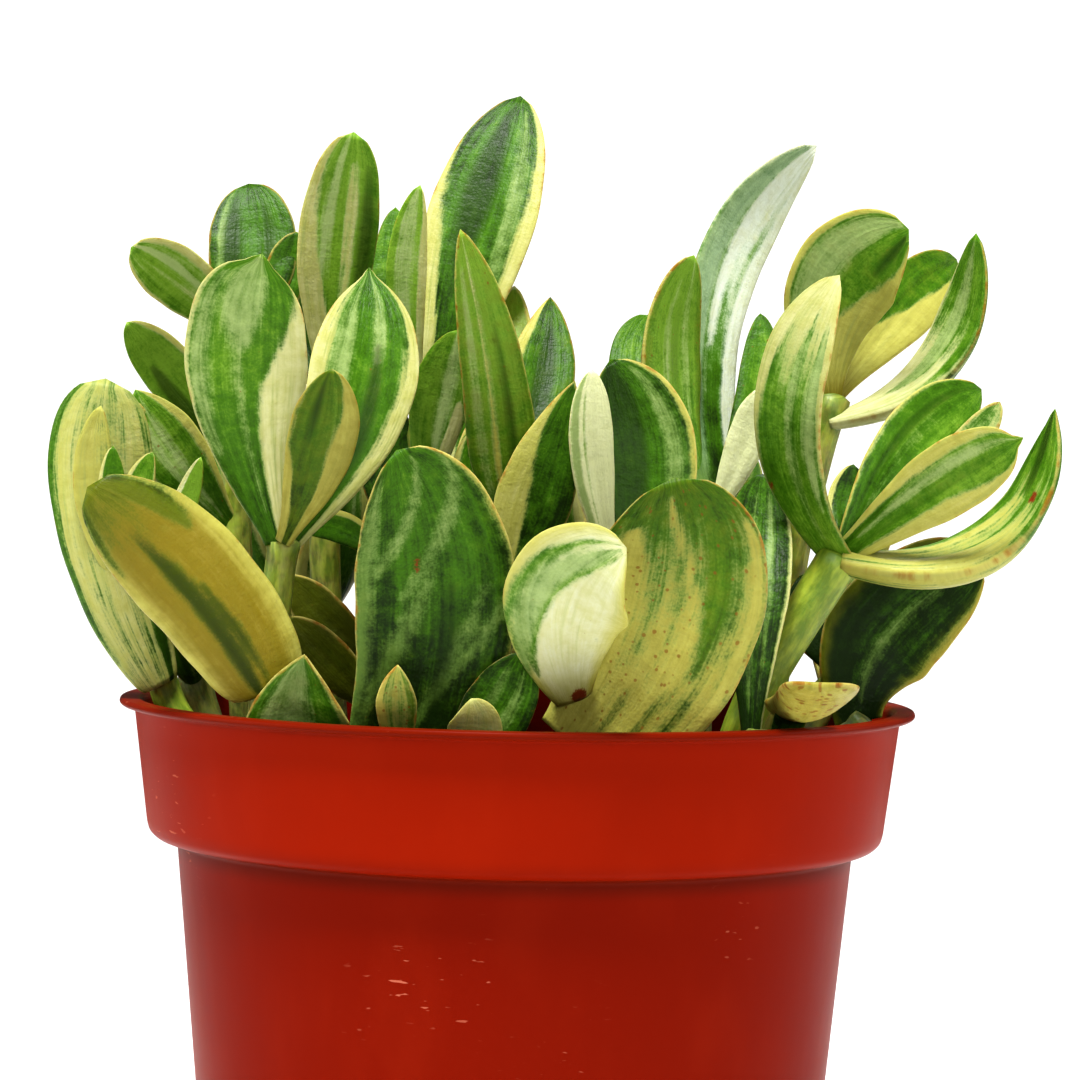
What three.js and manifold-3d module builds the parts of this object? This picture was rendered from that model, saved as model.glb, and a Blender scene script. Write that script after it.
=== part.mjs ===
import * as THREE from "three";
import { mergeVertices } from "three/addons/utils/BufferGeometryUtils.js";
import Module from "manifold-3d";

// A jade plant with cream-edged leaves in a 4 inch nursery pot.
// Millimetres, +Z up, the origin on the resting face at the pot's axis, the front towards -Y.

const wasm = await Module();
wasm.setup();

// The pot
const POT_HEIGHT = 90;
const POT_SIDES = 36;
const LIP_RADIUS = 52.5;
const LIP_THICK = 1;
const BAND_TOP_RADIUS = 50.4;
const BAND_LOW_RADIUS = 48.4;
const BAND_LOW_Z = 72.4;
const STEP_Z = 70.3;
const BODY_TOP_RADIUS = 44.6;
const BODY_LOW_RADIUS = 38;
const WALL = 1.2;
const FLOOR = 1.8;
const FOOT_CHAMFER = 0.8;
const DRAIN_COUNT = 6;
const DRAIN_RADIUS = 3.5;
const DRAIN_CIRCLE = 28;

// The soil in it
const SOIL_Z = 80.8;
const SOIL_LUMP = 0.7;
const SOIL_SIDES = 28;
const SOIL_RING_SHARES = [1, 0.72, 0.4];
const GAP = 0.3;

// Stems and leaves
const ROOT_Z = 74;
const STEM_STRAIGHT_Z = 82.4;
const STEM_LOW_RADIUS = 2.3;
const STEM_TOP_RADIUS = 1.9;
const STEM_SIDES = 6;
const STEM_STEPS = 2;
const LARGE_LEAF = { shares: [0, 0.2, 0.42, 0.63, 0.82, 0.95], sides: 8 };
const SMALL_LEAF = { shares: [0, 0.25, 0.55, 0.85], sides: 6 };
const SMALL_LEAF_WIDTH = 7;
const LEAF_THICK = 1.2;
const LEAF_THICK_BY_WIDTH = 0.15;
const LEAF_UPPER_SHARE = 0.36;
const LEAF_CUP = 0.12;
const BACK_PAIR_STEP = 7;
const BACK_TOP_LIFT = 76;

const MATERIALS = {
  pot_plastic: { color: 0xb3300c, roughness: 0.42, metalness: 0 },
  soil: { color: 0x2b1d12, roughness: 0.95, metalness: 0 },
  plant: { color: 0x8fae52, roughness: 0.45, metalness: 0 },
};

const UP = new THREE.Vector3(0, 0, 1);
const FRONT = new THREE.Vector3(0, -1, 0);

// The place the plant is looked at from. A shoot's points are written as [x, depth, z]:
// x and z as they appear from there in the plane of the pot's axis, and depth the true y.
const EYE = new THREE.Vector3(2.5, -462, 123);

// Each shoot in sight: where its stem stands in the soil, the points it passes, and its leaves.
// stout is the radius of a stem's top where it isn't STEM_TOP_RADIUS.
// A leaf runs from its foot via its middle to its tip. wide is its greatest width, turn turns
// its upper face about its length in degrees, widest says where it is widest as a share of its
// length, point how pointed it ends, neck how wide its foot is, rise how late it widens from
// there, and thick how thick it is.
const SHOOTS = {
  shoot_right_fan: {
    root: [27.6, -17], stout: 2.8,
    path: [[29.8, -20, 87], [33.6, -20, 95.3], [42.2, -20, 109.8]],
    leaves: [
      { from: [42.6, -20, 109.3], via: [35.2, -27.5, 127], to: [41.4, -34, 147.3], wide: 10.4,
        turn: -38, widest: 0.64, neck: 0.4 },
      { from: [42.7, -19, 109.8], via: [51, -13, 124.2], to: [60.5, -7, 132.6], wide: 9.8,
        neck: 0.32 },
      { from: [42.7, -20, 110.2], via: [55, -28, 119.7], to: [65.2, -35, 125.8], wide: 9.2,
        point: 0, neck: 0.36 },
      { from: [42.5, -21, 109.7], via: [62.3, -23, 112.2], to: [70.2, -25, 129.3], wide: 10.5,
        turn: -66, neck: 0.42, thick: 4.8 },
      { from: [42.6, -19.3, 110.3], via: [42.8, -15, 116], to: [43.8, -13, 122.3], wide: 5 },
      { from: [42.7, -19, 110], via: [55.8, -18, 121.8], to: [63, -16, 131], wide: 4.8 },
    ],
  },
  shoot_left_trio: {
    root: [-32, -24],
    path: [[-33, -26, 95], [-31.5, -28, 110.5]],
    leaves: [
      { from: [-32, -29, 110.5], via: [-36.4, -32, 130], to: [-35.3, -37, 147.2], wide: 15.3,
        turn: -10, widest: 0.62, point: -0.3 },
      { from: [-31, -27, 110.5], via: [-22.5, -23, 128.5], to: [-20.8, -15, 145.8], wide: 14,
        turn: 14 },
      { from: [-31.5, -30, 110.5], via: [-27, -37, 122.5], to: [-25.5, -43, 133.5], wide: 8.5 },
    ],
  },
  shoot_left_rim: {
    root: [-27, -32],
    path: [[-29.5, -33.6, 85.5], [-32.8, -33.8, 90.6]],
    leaves: [
      { from: [-33, -34, 90.6], via: [-42.8, -36, 104.6], to: [-57.6, -40, 117.2], wide: 14.4,
        turn: 180, widest: 0.45, point: -0.1, neck: 0.45, rise: 0.4 },
      { from: [-28.8, -34.2, 83.5], via: [-29.1, -36.8, 89], to: [-28.4, -39.5, 95.6], wide: 12.6,
        widest: 0.3, point: 1, neck: 0.45 },
    ],
  },
  shoot_far_left: {
    root: [-41, -8],
    path: [[-46.2, -8.5, 89], [-49.5, -9, 100]],
    leaves: [
      { from: [-47.5, -10.8, 91.1], via: [-54.9, -13.5, 111], to: [-55.4, -15, 131.6], wide: 13.4,
        turn: 180, widest: 0.7, point: -0.1, neck: 0.36, rise: 0.7 },
      { from: [-49.3, -9.5, 99], via: [-54.5, -9, 119.5], to: [-50, -11, 127.5], wide: 7.6 },
      { from: [-50, -13, 100], via: [-56, -16, 114], to: [-56, -19, 128], wide: 5.5 },
      { from: [-50, -13, 100], via: [-53.5, -17, 112], to: [-54.3, -19, 122.7], wide: 4 },
      { from: [-50, -12, 100], via: [-46, -14, 111], to: [-42.6, -16, 121.5], wide: 3.5 },
      { from: [-50, -13, 100], via: [-51.5, -17, 112], to: [-49, -19, 122], wide: 4.5 },
    ],
  },
  shoot_left_back: {
    root: [-36, 4],
    path: [[-37, 2, 100], [-38, 2, 118], [-37, 3, 136]],
    leaves: [
      { from: [-38, 1, 112], via: [-45.8, -3, 121.5], to: [-51.5, -4, 130.2], wide: 9, point: 0.8 },
      { from: [-38, 1, 121], via: [-45.6, -1, 131.3], to: [-52.8, -5, 139.1], wide: 7.5, turn: -12 },
      { from: [-37, 2, 136], via: [-44.2, -4, 143.7], to: [-52.4, -9, 149], wide: 8.3,
        turn: -15, point: 0 },
      { from: [-37, 4, 135], via: [-36.2, 7, 147], to: [-37, 12, 157.7], wide: 11.8, point: 0.1 },
      { from: [-36.5, 4, 134], via: [-32.5, 6, 144], to: [-30.5, 7, 151.5], wide: 6 },
    ],
  },
  shoot_left_tall: {
    root: [-25, 8],
    path: [[-26, 5, 110], [-26, 4, 131]],
    leaves: [
      { from: [-26, 4, 131], via: [-25.4, 0, 148], to: [-23.2, -5, 164.8], wide: 10.4,
        turn: 10, point: 0 },
      { from: [-26.5, 5, 130], via: [-30, 11, 140], to: [-29, 15, 149], wide: 8 },
    ],
  },
  shoot_centre_tall: {
    root: [-13, -6],
    path: [[-13.5, -6, 105], [-13, -4, 127]],
    leaves: [
      { from: [-13, -5, 126], via: [-6.9, -1, 150], to: [-1.3, 7, 170], wide: 14.6, turn: -14 },
      { from: [-13.5, -6, 125], via: [-15.9, -10, 143], to: [-14.3, -14, 158], wide: 5.2 },
      { from: [-13.3, -3.5, 125], via: [-17, 3, 141], to: [-17.5, 8, 155], wide: 6 },
      { from: [-13, -6, 116], via: [-11.4, -11, 128], to: [-9, -14, 139], wide: 7.6 },
      { from: [-13.5, -5.5, 110], via: [-18.6, -3, 118], to: [-20.5, -1, 126.5], wide: 7 },
    ],
  },
  shoot_centre_front: {
    root: [-13, -36],
    path: [[-14, -38, 84]],
    leaves: [
      { from: [-14, -38, 82], via: [-11.4, -42, 105.5], to: [-16.8, -48, 122.9], wide: 19.2,
        turn: 6, widest: 0.42, point: 0.12, neck: 0.85 },
      { from: [-15, -39, 82], via: [-16, -44, 88], to: [-16, -46, 94.5], wide: 5, point: 0.8 },
      { from: [-10, -38, 80], via: [-5.9, -44, 85], to: [-6.2, -47, 90.2], wide: 6.5 },
      { from: [-10.5, -38, 80], via: [-2.5, -40.5, 84.5], to: [0.6, -42, 92], wide: 4.6 },
    ],
  },
  shoot_centre_mid: {
    root: [-3, -20],
    path: [[-3, -19, 100], [-2.5, -17, 112]],
    leaves: [
      { from: [-1.6, -17.5, 111.5], via: [-4, -24, 132.5], to: [-8.9, -30, 152.3], wide: 8.8,
        widest: 0.3, point: 0.45 },
      { from: [-2.4, -16.6, 111], via: [-2, -8, 130], to: [-1.6, 2, 145], wide: 6 },
      { from: [-2.4, -16.8, 111.3], via: [1.6, -9, 130], to: [3.2, -1, 143.6], wide: 9, point: 0.9 },
      { from: [-2.2, -18.8, 104.5], via: [2.4, -22.5, 119.3], to: [6.7, -24, 132.6], wide: 9.8,
        widest: 0.4, point: 0.9 },
    ],
  },
  shoot_front_pair: {
    root: [10, -34.5],
    path: [[9.8, -37, 84.5]],
    leaves: [
      { from: [7.3, -39.7, 90.6], via: [6.3, -55, 103.4], to: [14, -61, 110.6], wide: 15,
        widest: 0.55, neck: 0.3, rise: 1 },
      { from: [9.4, -38.6, 82.6], via: [20.1, -42.5, 101.5], to: [19.9, -49, 120], wide: 21.6,
        turn: -6, widest: 0.5, point: -0.1, neck: 0.68 },
      { from: [12.5, -38, 80.5], via: [20.5, -39, 84], to: [24, -38.5, 89], wide: 4.6 },
    ],
  },
  shoot_centre_pair: {
    root: [11, -24],
    path: [[11, -23, 100], [12.5, -21, 108]],
    leaves: [
      { from: [12.2, -21.8, 108], via: [9.2, -27.5, 121.5], to: [8.9, -31, 134.2], wide: 6,
        turn: 20, widest: 0.6 },
      { from: [12.6, -21, 107], via: [16, -18.5, 121], to: [11.3, -17.5, 135.5], wide: 14 },
    ],
  },
  shoot_right_tall: {
    root: [23, -10],
    path: [[24, -12, 100], [25, -12, 118]],
    leaves: [
      { from: [24.6, -11.5, 116], via: [19, -11, 134], to: [22.1, -11, 149.5], wide: 11.5, turn: 48 },
      { from: [24.6, -11, 116.5], via: [16.3, -2, 131], to: [16.3, 5, 141.5], wide: 8.8 },
      { from: [25, -11, 117], via: [23.6, 1, 144.5], to: [37.6, 9, 164.3], wide: 9,
        turn: 35, widest: 0.52, neck: 0.5 },
      { from: [25.2, -11, 117], via: [30.3, -5, 131], to: [31, -1, 142], wide: 5 },
      { from: [25, -12, 114], via: [29.3, -14, 124.5], to: [31.8, -15, 132.3], wide: 5.2 },
    ],
  },
  shoot_right_upper: {
    root: [32, 8],
    path: [[34, 6, 95], [36.5, 3, 112], [41, 2, 131]],
    leaves: [
      { from: [40.5, 2, 130], via: [40.9, -2, 144.6], to: [50.4, -8, 153.5], wide: 14, point: 0.1 },
      { from: [41, 3, 131], via: [49.8, 7, 142.9], to: [56.8, 13, 149.7], wide: 9 },
      { from: [40.5, 1, 128], via: [55, -2, 136.3], to: [59.3, -6, 153.2], wide: 10.5,
        turn: -62, thick: 3.4 },
    ],
  },
  shoot_right_low: {
    root: [38, -7],
    path: [[46, -6, 88]],
    leaves: [
      { from: [45.2, -6, 88.2], via: [48, -5, 99.8], to: [61.2, -2, 110.3], wide: 16,
        turn: 10, widest: 0.55, point: 0, neck: 0.4 },
      { from: [46, -6, 90.6], via: [41.4, -3.5, 100.6], to: [36.9, -2, 107.3], wide: 10.5,
        widest: 0.6 },
    ],
  },
  shoot_right_rim: {
    root: [31, -30],
    path: [[31, -31, 86]],
    leaves: [
      { from: [31, -31, 85], via: [31.2, -26, 106], to: [31.8, -14, 120.8], wide: 8.8 },
      { from: [35, -31, 90.3], via: [39.3, -42, 91.4], to: [40, -52, 93], wide: 9.5,
        widest: 0.6, point: -0.3, neck: 0.5, thick: 4.2, face: [0, 0, 1] },
      { from: [33, -32, 84], via: [36, -34, 88], to: [36.5, -35, 91.5], wide: 4 },
    ],
  },
  shoot_inner_left: {
    root: [-18, -16],
    path: [[-18, -14, 96], [-17, -10, 107]],
    leaves: [
      { from: [-18, -14, 94.5], via: [-25, -15, 99.9], to: [-31, -16, 106], wide: 6 },
      { from: [-18, -15, 88], via: [-24, -18, 93.8], to: [-30.5, -19, 100.5], wide: 6 },
      { from: [-17, -10, 106.5], via: [-23, -10, 112.2], to: [-31, -10, 112.5], wide: 4.2 },
    ],
  },
};

// Shoots behind those: root and node are true places, the node the end of the stem. The first
// pair of leaves lies at the bearing around and rises by low degrees.
const BACK_SHOOTS = {
  shoot_back_1: {
    root: [-30, 25], node: [-34, 31, 108],
    around: 45, pairs: 3, long: 31, low: 55,
  },
  shoot_back_2: {
    root: [-5, 27], node: [-6, 31, 108],
    around: 80, pairs: 3, long: 30, low: 55,
  },
  shoot_back_3: {
    root: [22, 23], node: [26, 27, 104],
    around: 75, pairs: 3, long: 30, low: 55,
  },
  shoot_back_4: {
    root: [38, 13], node: [46, 17, 97],
    around: 80, pairs: 2, long: 25, low: 50,
  },
  shoot_back_5: {
    root: [-41, 9], node: [-46, 11, 97],
    around: 85, pairs: 2, long: 21, low: 50,
  },
  shoot_back_6: {
    root: [9, 38], node: [10, 43, 97],
    around: 80, pairs: 2, long: 27, low: 54,
  },
  shoot_back_7: {
    root: [-2, 5], node: [-3, 4, 101],
    around: 15, pairs: 2, long: 30, low: 58,
  },
  shoot_back_8: {
    root: [15, 6], node: [14, 9, 97],
    around: 85, pairs: 2, long: 27, low: 58,
  },
};

const vector = (point) => new THREE.Vector3(...point);
const step = (from, way, length) => from.clone().addScaledVector(way, length);
const cross = (a, b) => new THREE.Vector3().crossVectors(a, b);
const mix = (a, shareA, b, shareB) => step(a.clone().multiplyScalar(shareA), b, shareB);
const radians = THREE.MathUtils.degToRad;

// A point given as it is seen in the plane of the pot's axis, moved to its true place.
function seen([x, depth, z]) {
  const reach = 1 + depth / -EYE.y;
  return new THREE.Vector3(EYE.x + (x - EYE.x) * reach, depth, EYE.z + (z - EYE.z) * reach);
}

function solidOf(geometry) {
  geometry.deleteAttribute("normal");
  geometry.deleteAttribute("uv");
  const merged = mergeVertices(geometry, 1e-4);
  return new wasm.Manifold(
    new wasm.Mesh({
      numProp: 3,
      vertProperties: merged.attributes.position.array,
      triVerts: new Uint32Array(merged.index.array),
    })
  );
}

function meshOf(solid, name, material) {
  const { vertProperties, triVerts } = solid.getMesh();
  const geometry = new THREE.BufferGeometry();
  geometry.setAttribute("position", new THREE.BufferAttribute(vertProperties, 3));
  geometry.setIndex(new THREE.BufferAttribute(triVerts, 1));
  geometry.computeVertexNormals();
  const mesh = new THREE.Mesh(geometry, new THREE.MeshStandardMaterial(MATERIALS[material]));
  mesh.name = name;
  return mesh;
}

// A solid skinned over rings of the same number of points, closed by a point at either end.
function ringSolid(first, rings, last) {
  const sides = rings[0].length;
  const points = [first, ...rings.flat(), last];
  const faces = [];
  for (let side = 0; side < sides; side++) {
    const next = (side + 1) % sides;
    faces.push(0, 1 + next, 1 + side);
    for (let ring = 0; ring < rings.length - 1; ring++) {
      const low = 1 + ring * sides;
      const high = low + sides;
      faces.push(low + side, low + next, high + next);
      faces.push(low + side, high + next, high + side);
    }
    const top = 1 + (rings.length - 1) * sides;
    faces.push(top + side, top + next, points.length - 1);
  }
  const geometry = new THREE.BufferGeometry().setFromPoints(points);
  geometry.setIndex(faces);
  return solidOf(geometry);
}

function ringOf(radius, z, sides) {
  const ring = [];
  for (let side = 0; side < sides; side++) {
    const angle = (2 * Math.PI * side) / sides;
    ring.push(new THREE.Vector3(radius * Math.cos(angle), radius * Math.sin(angle), z));
  }
  return ring;
}

function uprightRod(x, y, low, high, radius, sides) {
  const rod = new THREE.CylinderGeometry(radius, radius, high - low, sides);
  return solidOf(rod.rotateX(Math.PI / 2).translate(x, y, (low + high) / 2));
}

// The outside from the foot up to the lip, as [radius, z].
function potOutside() {
  return [
    [BODY_LOW_RADIUS - FOOT_CHAMFER, 0],
    [BODY_LOW_RADIUS, FOOT_CHAMFER],
    [BODY_TOP_RADIUS, STEP_Z - 0.6],
    [BODY_TOP_RADIUS + 0.9, STEP_Z],
    [BAND_LOW_RADIUS - 1.2, BAND_LOW_Z - 1.7],
    [BAND_LOW_RADIUS, BAND_LOW_Z - 0.2],
    [BAND_TOP_RADIUS, POT_HEIGHT - 1.6],
    [LIP_RADIUS - 0.4, POT_HEIGHT - LIP_THICK],
    [LIP_RADIUS, POT_HEIGHT - 0.7],
    [LIP_RADIUS - 0.3, POT_HEIGHT],
  ];
}

// The inside from the lip down to the floor, as [radius, z].
function potInside() {
  return [
    [BAND_TOP_RADIUS - WALL + 0.7, POT_HEIGHT],
    [BAND_TOP_RADIUS - WALL, POT_HEIGHT - 0.8],
    [BAND_LOW_RADIUS - WALL, BAND_LOW_Z + 0.4],
    [BODY_TOP_RADIUS - WALL, STEP_Z - 1.2],
    [BODY_LOW_RADIUS - WALL, FLOOR],
  ];
}

function drainHoles() {
  const holes = [];
  for (let hole = 0; hole < DRAIN_COUNT; hole++) {
    const angle = (2 * Math.PI * hole) / DRAIN_COUNT;
    const x = DRAIN_CIRCLE * Math.cos(angle);
    const y = DRAIN_CIRCLE * Math.sin(angle);
    holes.push(uprightRod(x, y, -1, FLOOR + 1, DRAIN_RADIUS, 10));
  }
  return holes;
}

function pot() {
  const profile = [[0, 0], ...potOutside(), ...potInside(), [0, FLOOR]];
  const points = profile.map(([radius, z]) => new THREE.Vector2(radius, z));
  const shell = solidOf(new THREE.LatheGeometry(points, POT_SIDES).rotateX(Math.PI / 2));
  return drainHoles().reduce((solid, hole) => solid.subtract(hole), shell);
}

function soilTop({ x, y }) {
  const long = Math.sin(0.21 * x + 1.1) * Math.cos(0.17 * y - 0.6);
  const short = 0.5 * Math.sin(0.47 * x - 0.38 * y);
  return SOIL_Z + SOIL_LUMP * (long + short);
}

// The soil fills the pot to a lumpy crown and has a hole for each stem.
function soil(roots) {
  const bandTopZ = POT_HEIGHT - 0.8;
  const bandFootZ = BAND_LOW_Z + 0.4;
  const slope = (BAND_TOP_RADIUS - BAND_LOW_RADIUS) / (bandTopZ - bandFootZ);
  const edge = BAND_TOP_RADIUS - WALL - slope * (bandTopZ - SOIL_Z) - 2 * GAP;
  const wall = [
    [BODY_LOW_RADIUS - WALL - 2 * GAP, FLOOR + GAP],
    [BODY_TOP_RADIUS - WALL - 2 * GAP, STEP_Z - 1.2],
    [BAND_LOW_RADIUS - WALL - 2 * GAP, bandFootZ],
  ].map(([radius, z]) => ringOf(radius, z, SOIL_SIDES));
  const crown = SOIL_RING_SHARES.map((share) =>
    ringOf(edge * share, 0, SOIL_SIDES).map((point) => point.setZ(soilTop(point)))
  );
  const bottom = new THREE.Vector3(0, 0, FLOOR + GAP);
  const centre = new THREE.Vector3(0, 0, soilTop({ x: 0, y: 0 }));
  return roots.reduce((solid, [x, y]) => {
    const hole = uprightRod(x, y, ROOT_Z - GAP, POT_HEIGHT, STEM_LOW_RADIUS + 2 * GAP, 9);
    return solid.subtract(hole);
  }, ringSolid(bottom, [...wall, ...crown], centre));
}

// A stem stands straight in its hole in the soil, then follows its points.
function stemLine(root, points) {
  const foot = new THREE.Vector3(root[0], root[1], ROOT_Z);
  const collar = new THREE.Vector3(root[0], root[1], STEM_STRAIGHT_Z);
  const curve = new THREE.CatmullRomCurve3([collar, ...points], false, "catmullrom", 0.5);
  const line = [];
  const count = points.length * STEM_STEPS;
  for (let i = 0; i <= count; i++) {
    line.push(curve.getPoint(i / count));
  }
  return [foot, ...line];
}

function stemSolid(line, topRadius) {
  const last = line.length - 1;
  const rings = line.map((point, i) => {
    const along = i < 2 ? UP : line[Math.min(i + 1, last)].clone().sub(line[i - 1]).normalize();
    const side = cross(along, FRONT).normalize();
    const front = cross(along, side);
    const radius = THREE.MathUtils.lerp(STEM_LOW_RADIUS, topRadius, i / last);
    const ring = [];
    for (let k = 0; k < STEM_SIDES; k++) {
      const angle = (2 * Math.PI * k) / STEM_SIDES;
      ring.push(step(step(point, side, radius * Math.cos(angle)), front, radius * Math.sin(angle)));
    }
    return ring;
  });
  return ringSolid(line[0], rings, line[last]);
}

// Half the leaf's width at a share t of its length, as a share of the widest half.
function widthAt(t, { widest = 0.58, point = 0.35, neck = 0.25, rise = 1.35 }) {
  if (t < widest) {
    return neck + (1 - neck) * Math.sin((Math.PI / 2) * (t / widest)) ** rise;
  }
  const past = (t - widest) / (1 - widest);
  return (1 - past ** (2.6 - point)) ** (0.55 + 0.4 * point);
}

// The leaf's thickness at a share t of its length, as a share of its full thickness.
function thicknessAt(t) {
  const swell = 0.62 + 0.38 * Math.sin(Math.PI * Math.min(t / 0.7, 1));
  return swell * Math.sqrt(1 - t ** 5);
}

// One ring round the leaf: a lens a little cupped upwards at both edges.
function leafRing(leaf, curve, t, sides) {
  const along = curve.getTangent(t);
  const flat = step(leaf.face, along, -along.dot(leaf.face)).normalize();
  const turn = radians(leaf.turn ?? 0);
  const up = mix(flat, Math.cos(turn), cross(along, flat), Math.sin(turn));
  const side = cross(up, along);
  const half = (leaf.wide / 2) * widthAt(t, leaf);
  const full = leaf.thick ?? LEAF_THICK + LEAF_THICK_BY_WIDTH * leaf.wide;
  const thick = Math.min(full * thicknessAt(t), 1.7 * half);
  const ring = [];
  for (let k = 0; k < sides; k++) {
    const angle = (2 * Math.PI * k) / sides;
    const across = Math.cos(angle);
    const over = Math.sin(angle);
    const share = over > 0 ? LEAF_UPPER_SHARE : 1 - LEAF_UPPER_SHARE;
    const lift = thick * over * share + LEAF_CUP * half * across * across;
    ring.push(step(step(curve.getPoint(t), side, half * across), up, lift));
  }
  return ring;
}

// The leaf's middle line is a curve through from, via and to.
function leafSolid(leaf) {
  const { from, via, to } = leaf;
  const handle = via.clone().multiplyScalar(2).addScaledVector(from.clone().add(to), -0.5);
  const curve = new THREE.QuadraticBezierCurve3(from, handle, to);
  const { shares, sides } = leaf.wide < SMALL_LEAF_WIDTH ? SMALL_LEAF : LARGE_LEAF;
  return ringSolid(from, shares.map((t) => leafRing(leaf, curve, t, sides)), to);
}

function shownShoot({ root, path, stout, leaves }) {
  const placed = leaves.map((leaf) => ({
    ...leaf,
    from: seen(leaf.from),
    via: seen(leaf.via),
    to: seen(leaf.to),
    face: leaf.face ? vector(leaf.face) : FRONT,
  }));
  return shootSolid(stemLine(root, path.map(seen)), placed, stout);
}

// A shoot at the back: pairs of leaves up its stem, each pair a quarter turn past the last.
function backShoot({ root, node, around, pairs, long, low }) {
  const top = vector(node);
  const collar = new THREE.Vector3(root[0], root[1], STEM_STRAIGHT_Z);
  const axis = top.clone().sub(collar).normalize();
  const side = cross(axis, FRONT).negate().normalize();
  const front = cross(side, axis);
  const leaves = [];
  for (let i = 0; i < 2 * pairs; i++) {
    const pair = Math.floor(i / 2);
    const bearing = radians(around + 90 * pair + 180 * (i % 2) + 9 * Math.sin(5.3 * i + 1));
    const share = pair / (pairs - 1);
    const lift = radians(THREE.MathUtils.lerp(low, BACK_TOP_LIFT, share) + 5 * Math.sin(3.1 * i));
    const size = long * (1 - 0.12 * pair + 0.06 * Math.sin(2.3 * i + 2));
    const out = mix(side, Math.cos(bearing), front, Math.sin(bearing));
    const way = mix(out, Math.cos(lift), axis, Math.sin(lift));
    const face = mix(axis, Math.cos(lift), out, -Math.sin(lift));
    const from = step(top, axis, -BACK_PAIR_STEP * (pairs - 1 - pair));
    const via = step(step(from, way, size / 2), face, -0.1 * size);
    leaves.push({ from, via, to: step(from, way, size), face, wide: 0.4 * size });
  }
  return shootSolid(stemLine(root, [top]), leaves);
}

function shootSolid(line, leaves, topRadius = STEM_TOP_RADIUS) {
  const stem = stemSolid(line, topRadius);
  return leaves.map(leafSolid).reduce((solid, leaf) => solid.add(leaf), stem);
}

const plant = new THREE.Group();
const shoots = { ...SHOOTS, ...BACK_SHOOTS };
const roots = Object.values(shoots).map(({ root }) => root);
plant.add(meshOf(pot(), "pot", "pot_plastic"));
plant.add(meshOf(soil(roots), "soil", "soil"));
for (const [name, shoot] of Object.entries(shoots)) {
  const solid = shoot.node ? backShoot(shoot) : shownShoot(shoot);
  plant.add(meshOf(solid, name, "plant"));
}

export default plant;
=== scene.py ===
import math
import random

import bpy
import numpy as np
from mathutils import Matrix, Vector


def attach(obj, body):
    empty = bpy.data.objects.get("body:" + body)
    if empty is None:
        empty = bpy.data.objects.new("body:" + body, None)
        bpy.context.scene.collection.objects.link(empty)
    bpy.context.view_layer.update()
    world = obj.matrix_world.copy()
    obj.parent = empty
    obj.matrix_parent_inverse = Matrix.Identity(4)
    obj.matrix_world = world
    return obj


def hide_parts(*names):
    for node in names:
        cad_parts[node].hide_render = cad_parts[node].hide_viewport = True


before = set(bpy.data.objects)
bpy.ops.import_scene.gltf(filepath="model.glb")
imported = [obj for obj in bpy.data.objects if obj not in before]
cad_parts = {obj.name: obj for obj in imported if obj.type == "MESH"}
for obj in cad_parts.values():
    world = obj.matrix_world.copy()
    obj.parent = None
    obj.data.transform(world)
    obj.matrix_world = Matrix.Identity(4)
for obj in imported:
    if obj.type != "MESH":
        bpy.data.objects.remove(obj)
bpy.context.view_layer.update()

# A jade plant with cream-edged leaves in a 4 inch nursery pot. Sizes below are in millimetres.

MM = 0.001
SEED = 7

# The camera stands close in front of the pot, a little above its lip.
EYE = np.array([2.5, -462.0, 123.0])
TARGET = np.array([2.5, 0.0, 111.4])
ROLL = math.radians(1.2)
LENS = 116.27
SENSOR = 36.0

# The light: the strength of the white room as it lights and as it shows, and the lamps with
# their places and sizes in metres and their watts. All aim at the plant.
SKY_LIGHT = 0.16
SKY_SHOWN = 1.05
LIGHTS = (
    ("key", (-0.15, -0.45, 1.2), 0.35, 25.0),
    ("front", (0.3, -1.1, 0.55), 0.7, 5.5),
    ("left", (-1.0, -0.1, 0.4), 0.6, 4.0),
    ("right", (1.0, 0.1, 0.4), 0.6, 4.0),
    ("back", (0.3, 0.9, 1.0), 0.8, 4.0),
)
LIGHTS_AIM = (0, 0, 0.1)
FLOOR_ACROSS = 1.0

# The pot
POT_SIDES = 216
POT_OUTSIDE = [
    (37.2, 0), (38, 0.8), (44.6, 71.1), (45.2, 71.6), (47.4, 71.9), (48.3, 72.7), (48.6, 73.8),
    (50.5, 88.9), (52.1, 89), (52.5, 89.4), (52.3, 90),
]
POT_INSIDE = [(49.9, 90), (49.2, 89.4), (47.3, 74.2), (43.4, 70.5), (36.8, 1.8)]
POT_FLOOR = 1.8
# The edges between these heights and beyond this radius, the band's lower step, are paler: rubbing and
# a painted highlight.
POT_HIGHLIGHT_AND_RUB_Z = (60, 80)
POT_HIGHLIGHT_AND_RUB_RADIUS = 43
DRAIN_COUNT = 6
DRAIN_RADIUS = 3.5
DRAIN_CIRCLE = 28
DRAIN_SIDES = 40

# The soil
SOIL_Z = 80.8
SOIL_LUMP = 0.7
SOIL_EDGE = 47.6
SOIL_WALL = [(36.2, 2.1), (42.8, 70.5), (46.7, 74.2)]
SOIL_SIDES = 180
SOIL_RINGS = 70
SOIL_CALM_RIM = 1 / 12
CRUMBS = 900
CRUMB_SMALL = 0.45
CRUMB_GROWTH = 1.3
CRUMB_FROM_EDGE = 2.2
CRUMB_FROM_STEM = 2.9
CRUMB_LEVELS = (-0.75, -0.3, 0.25, 0.7)
CRUMB_SIDES = 7
GRIT_SHARE = 0.12

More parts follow.
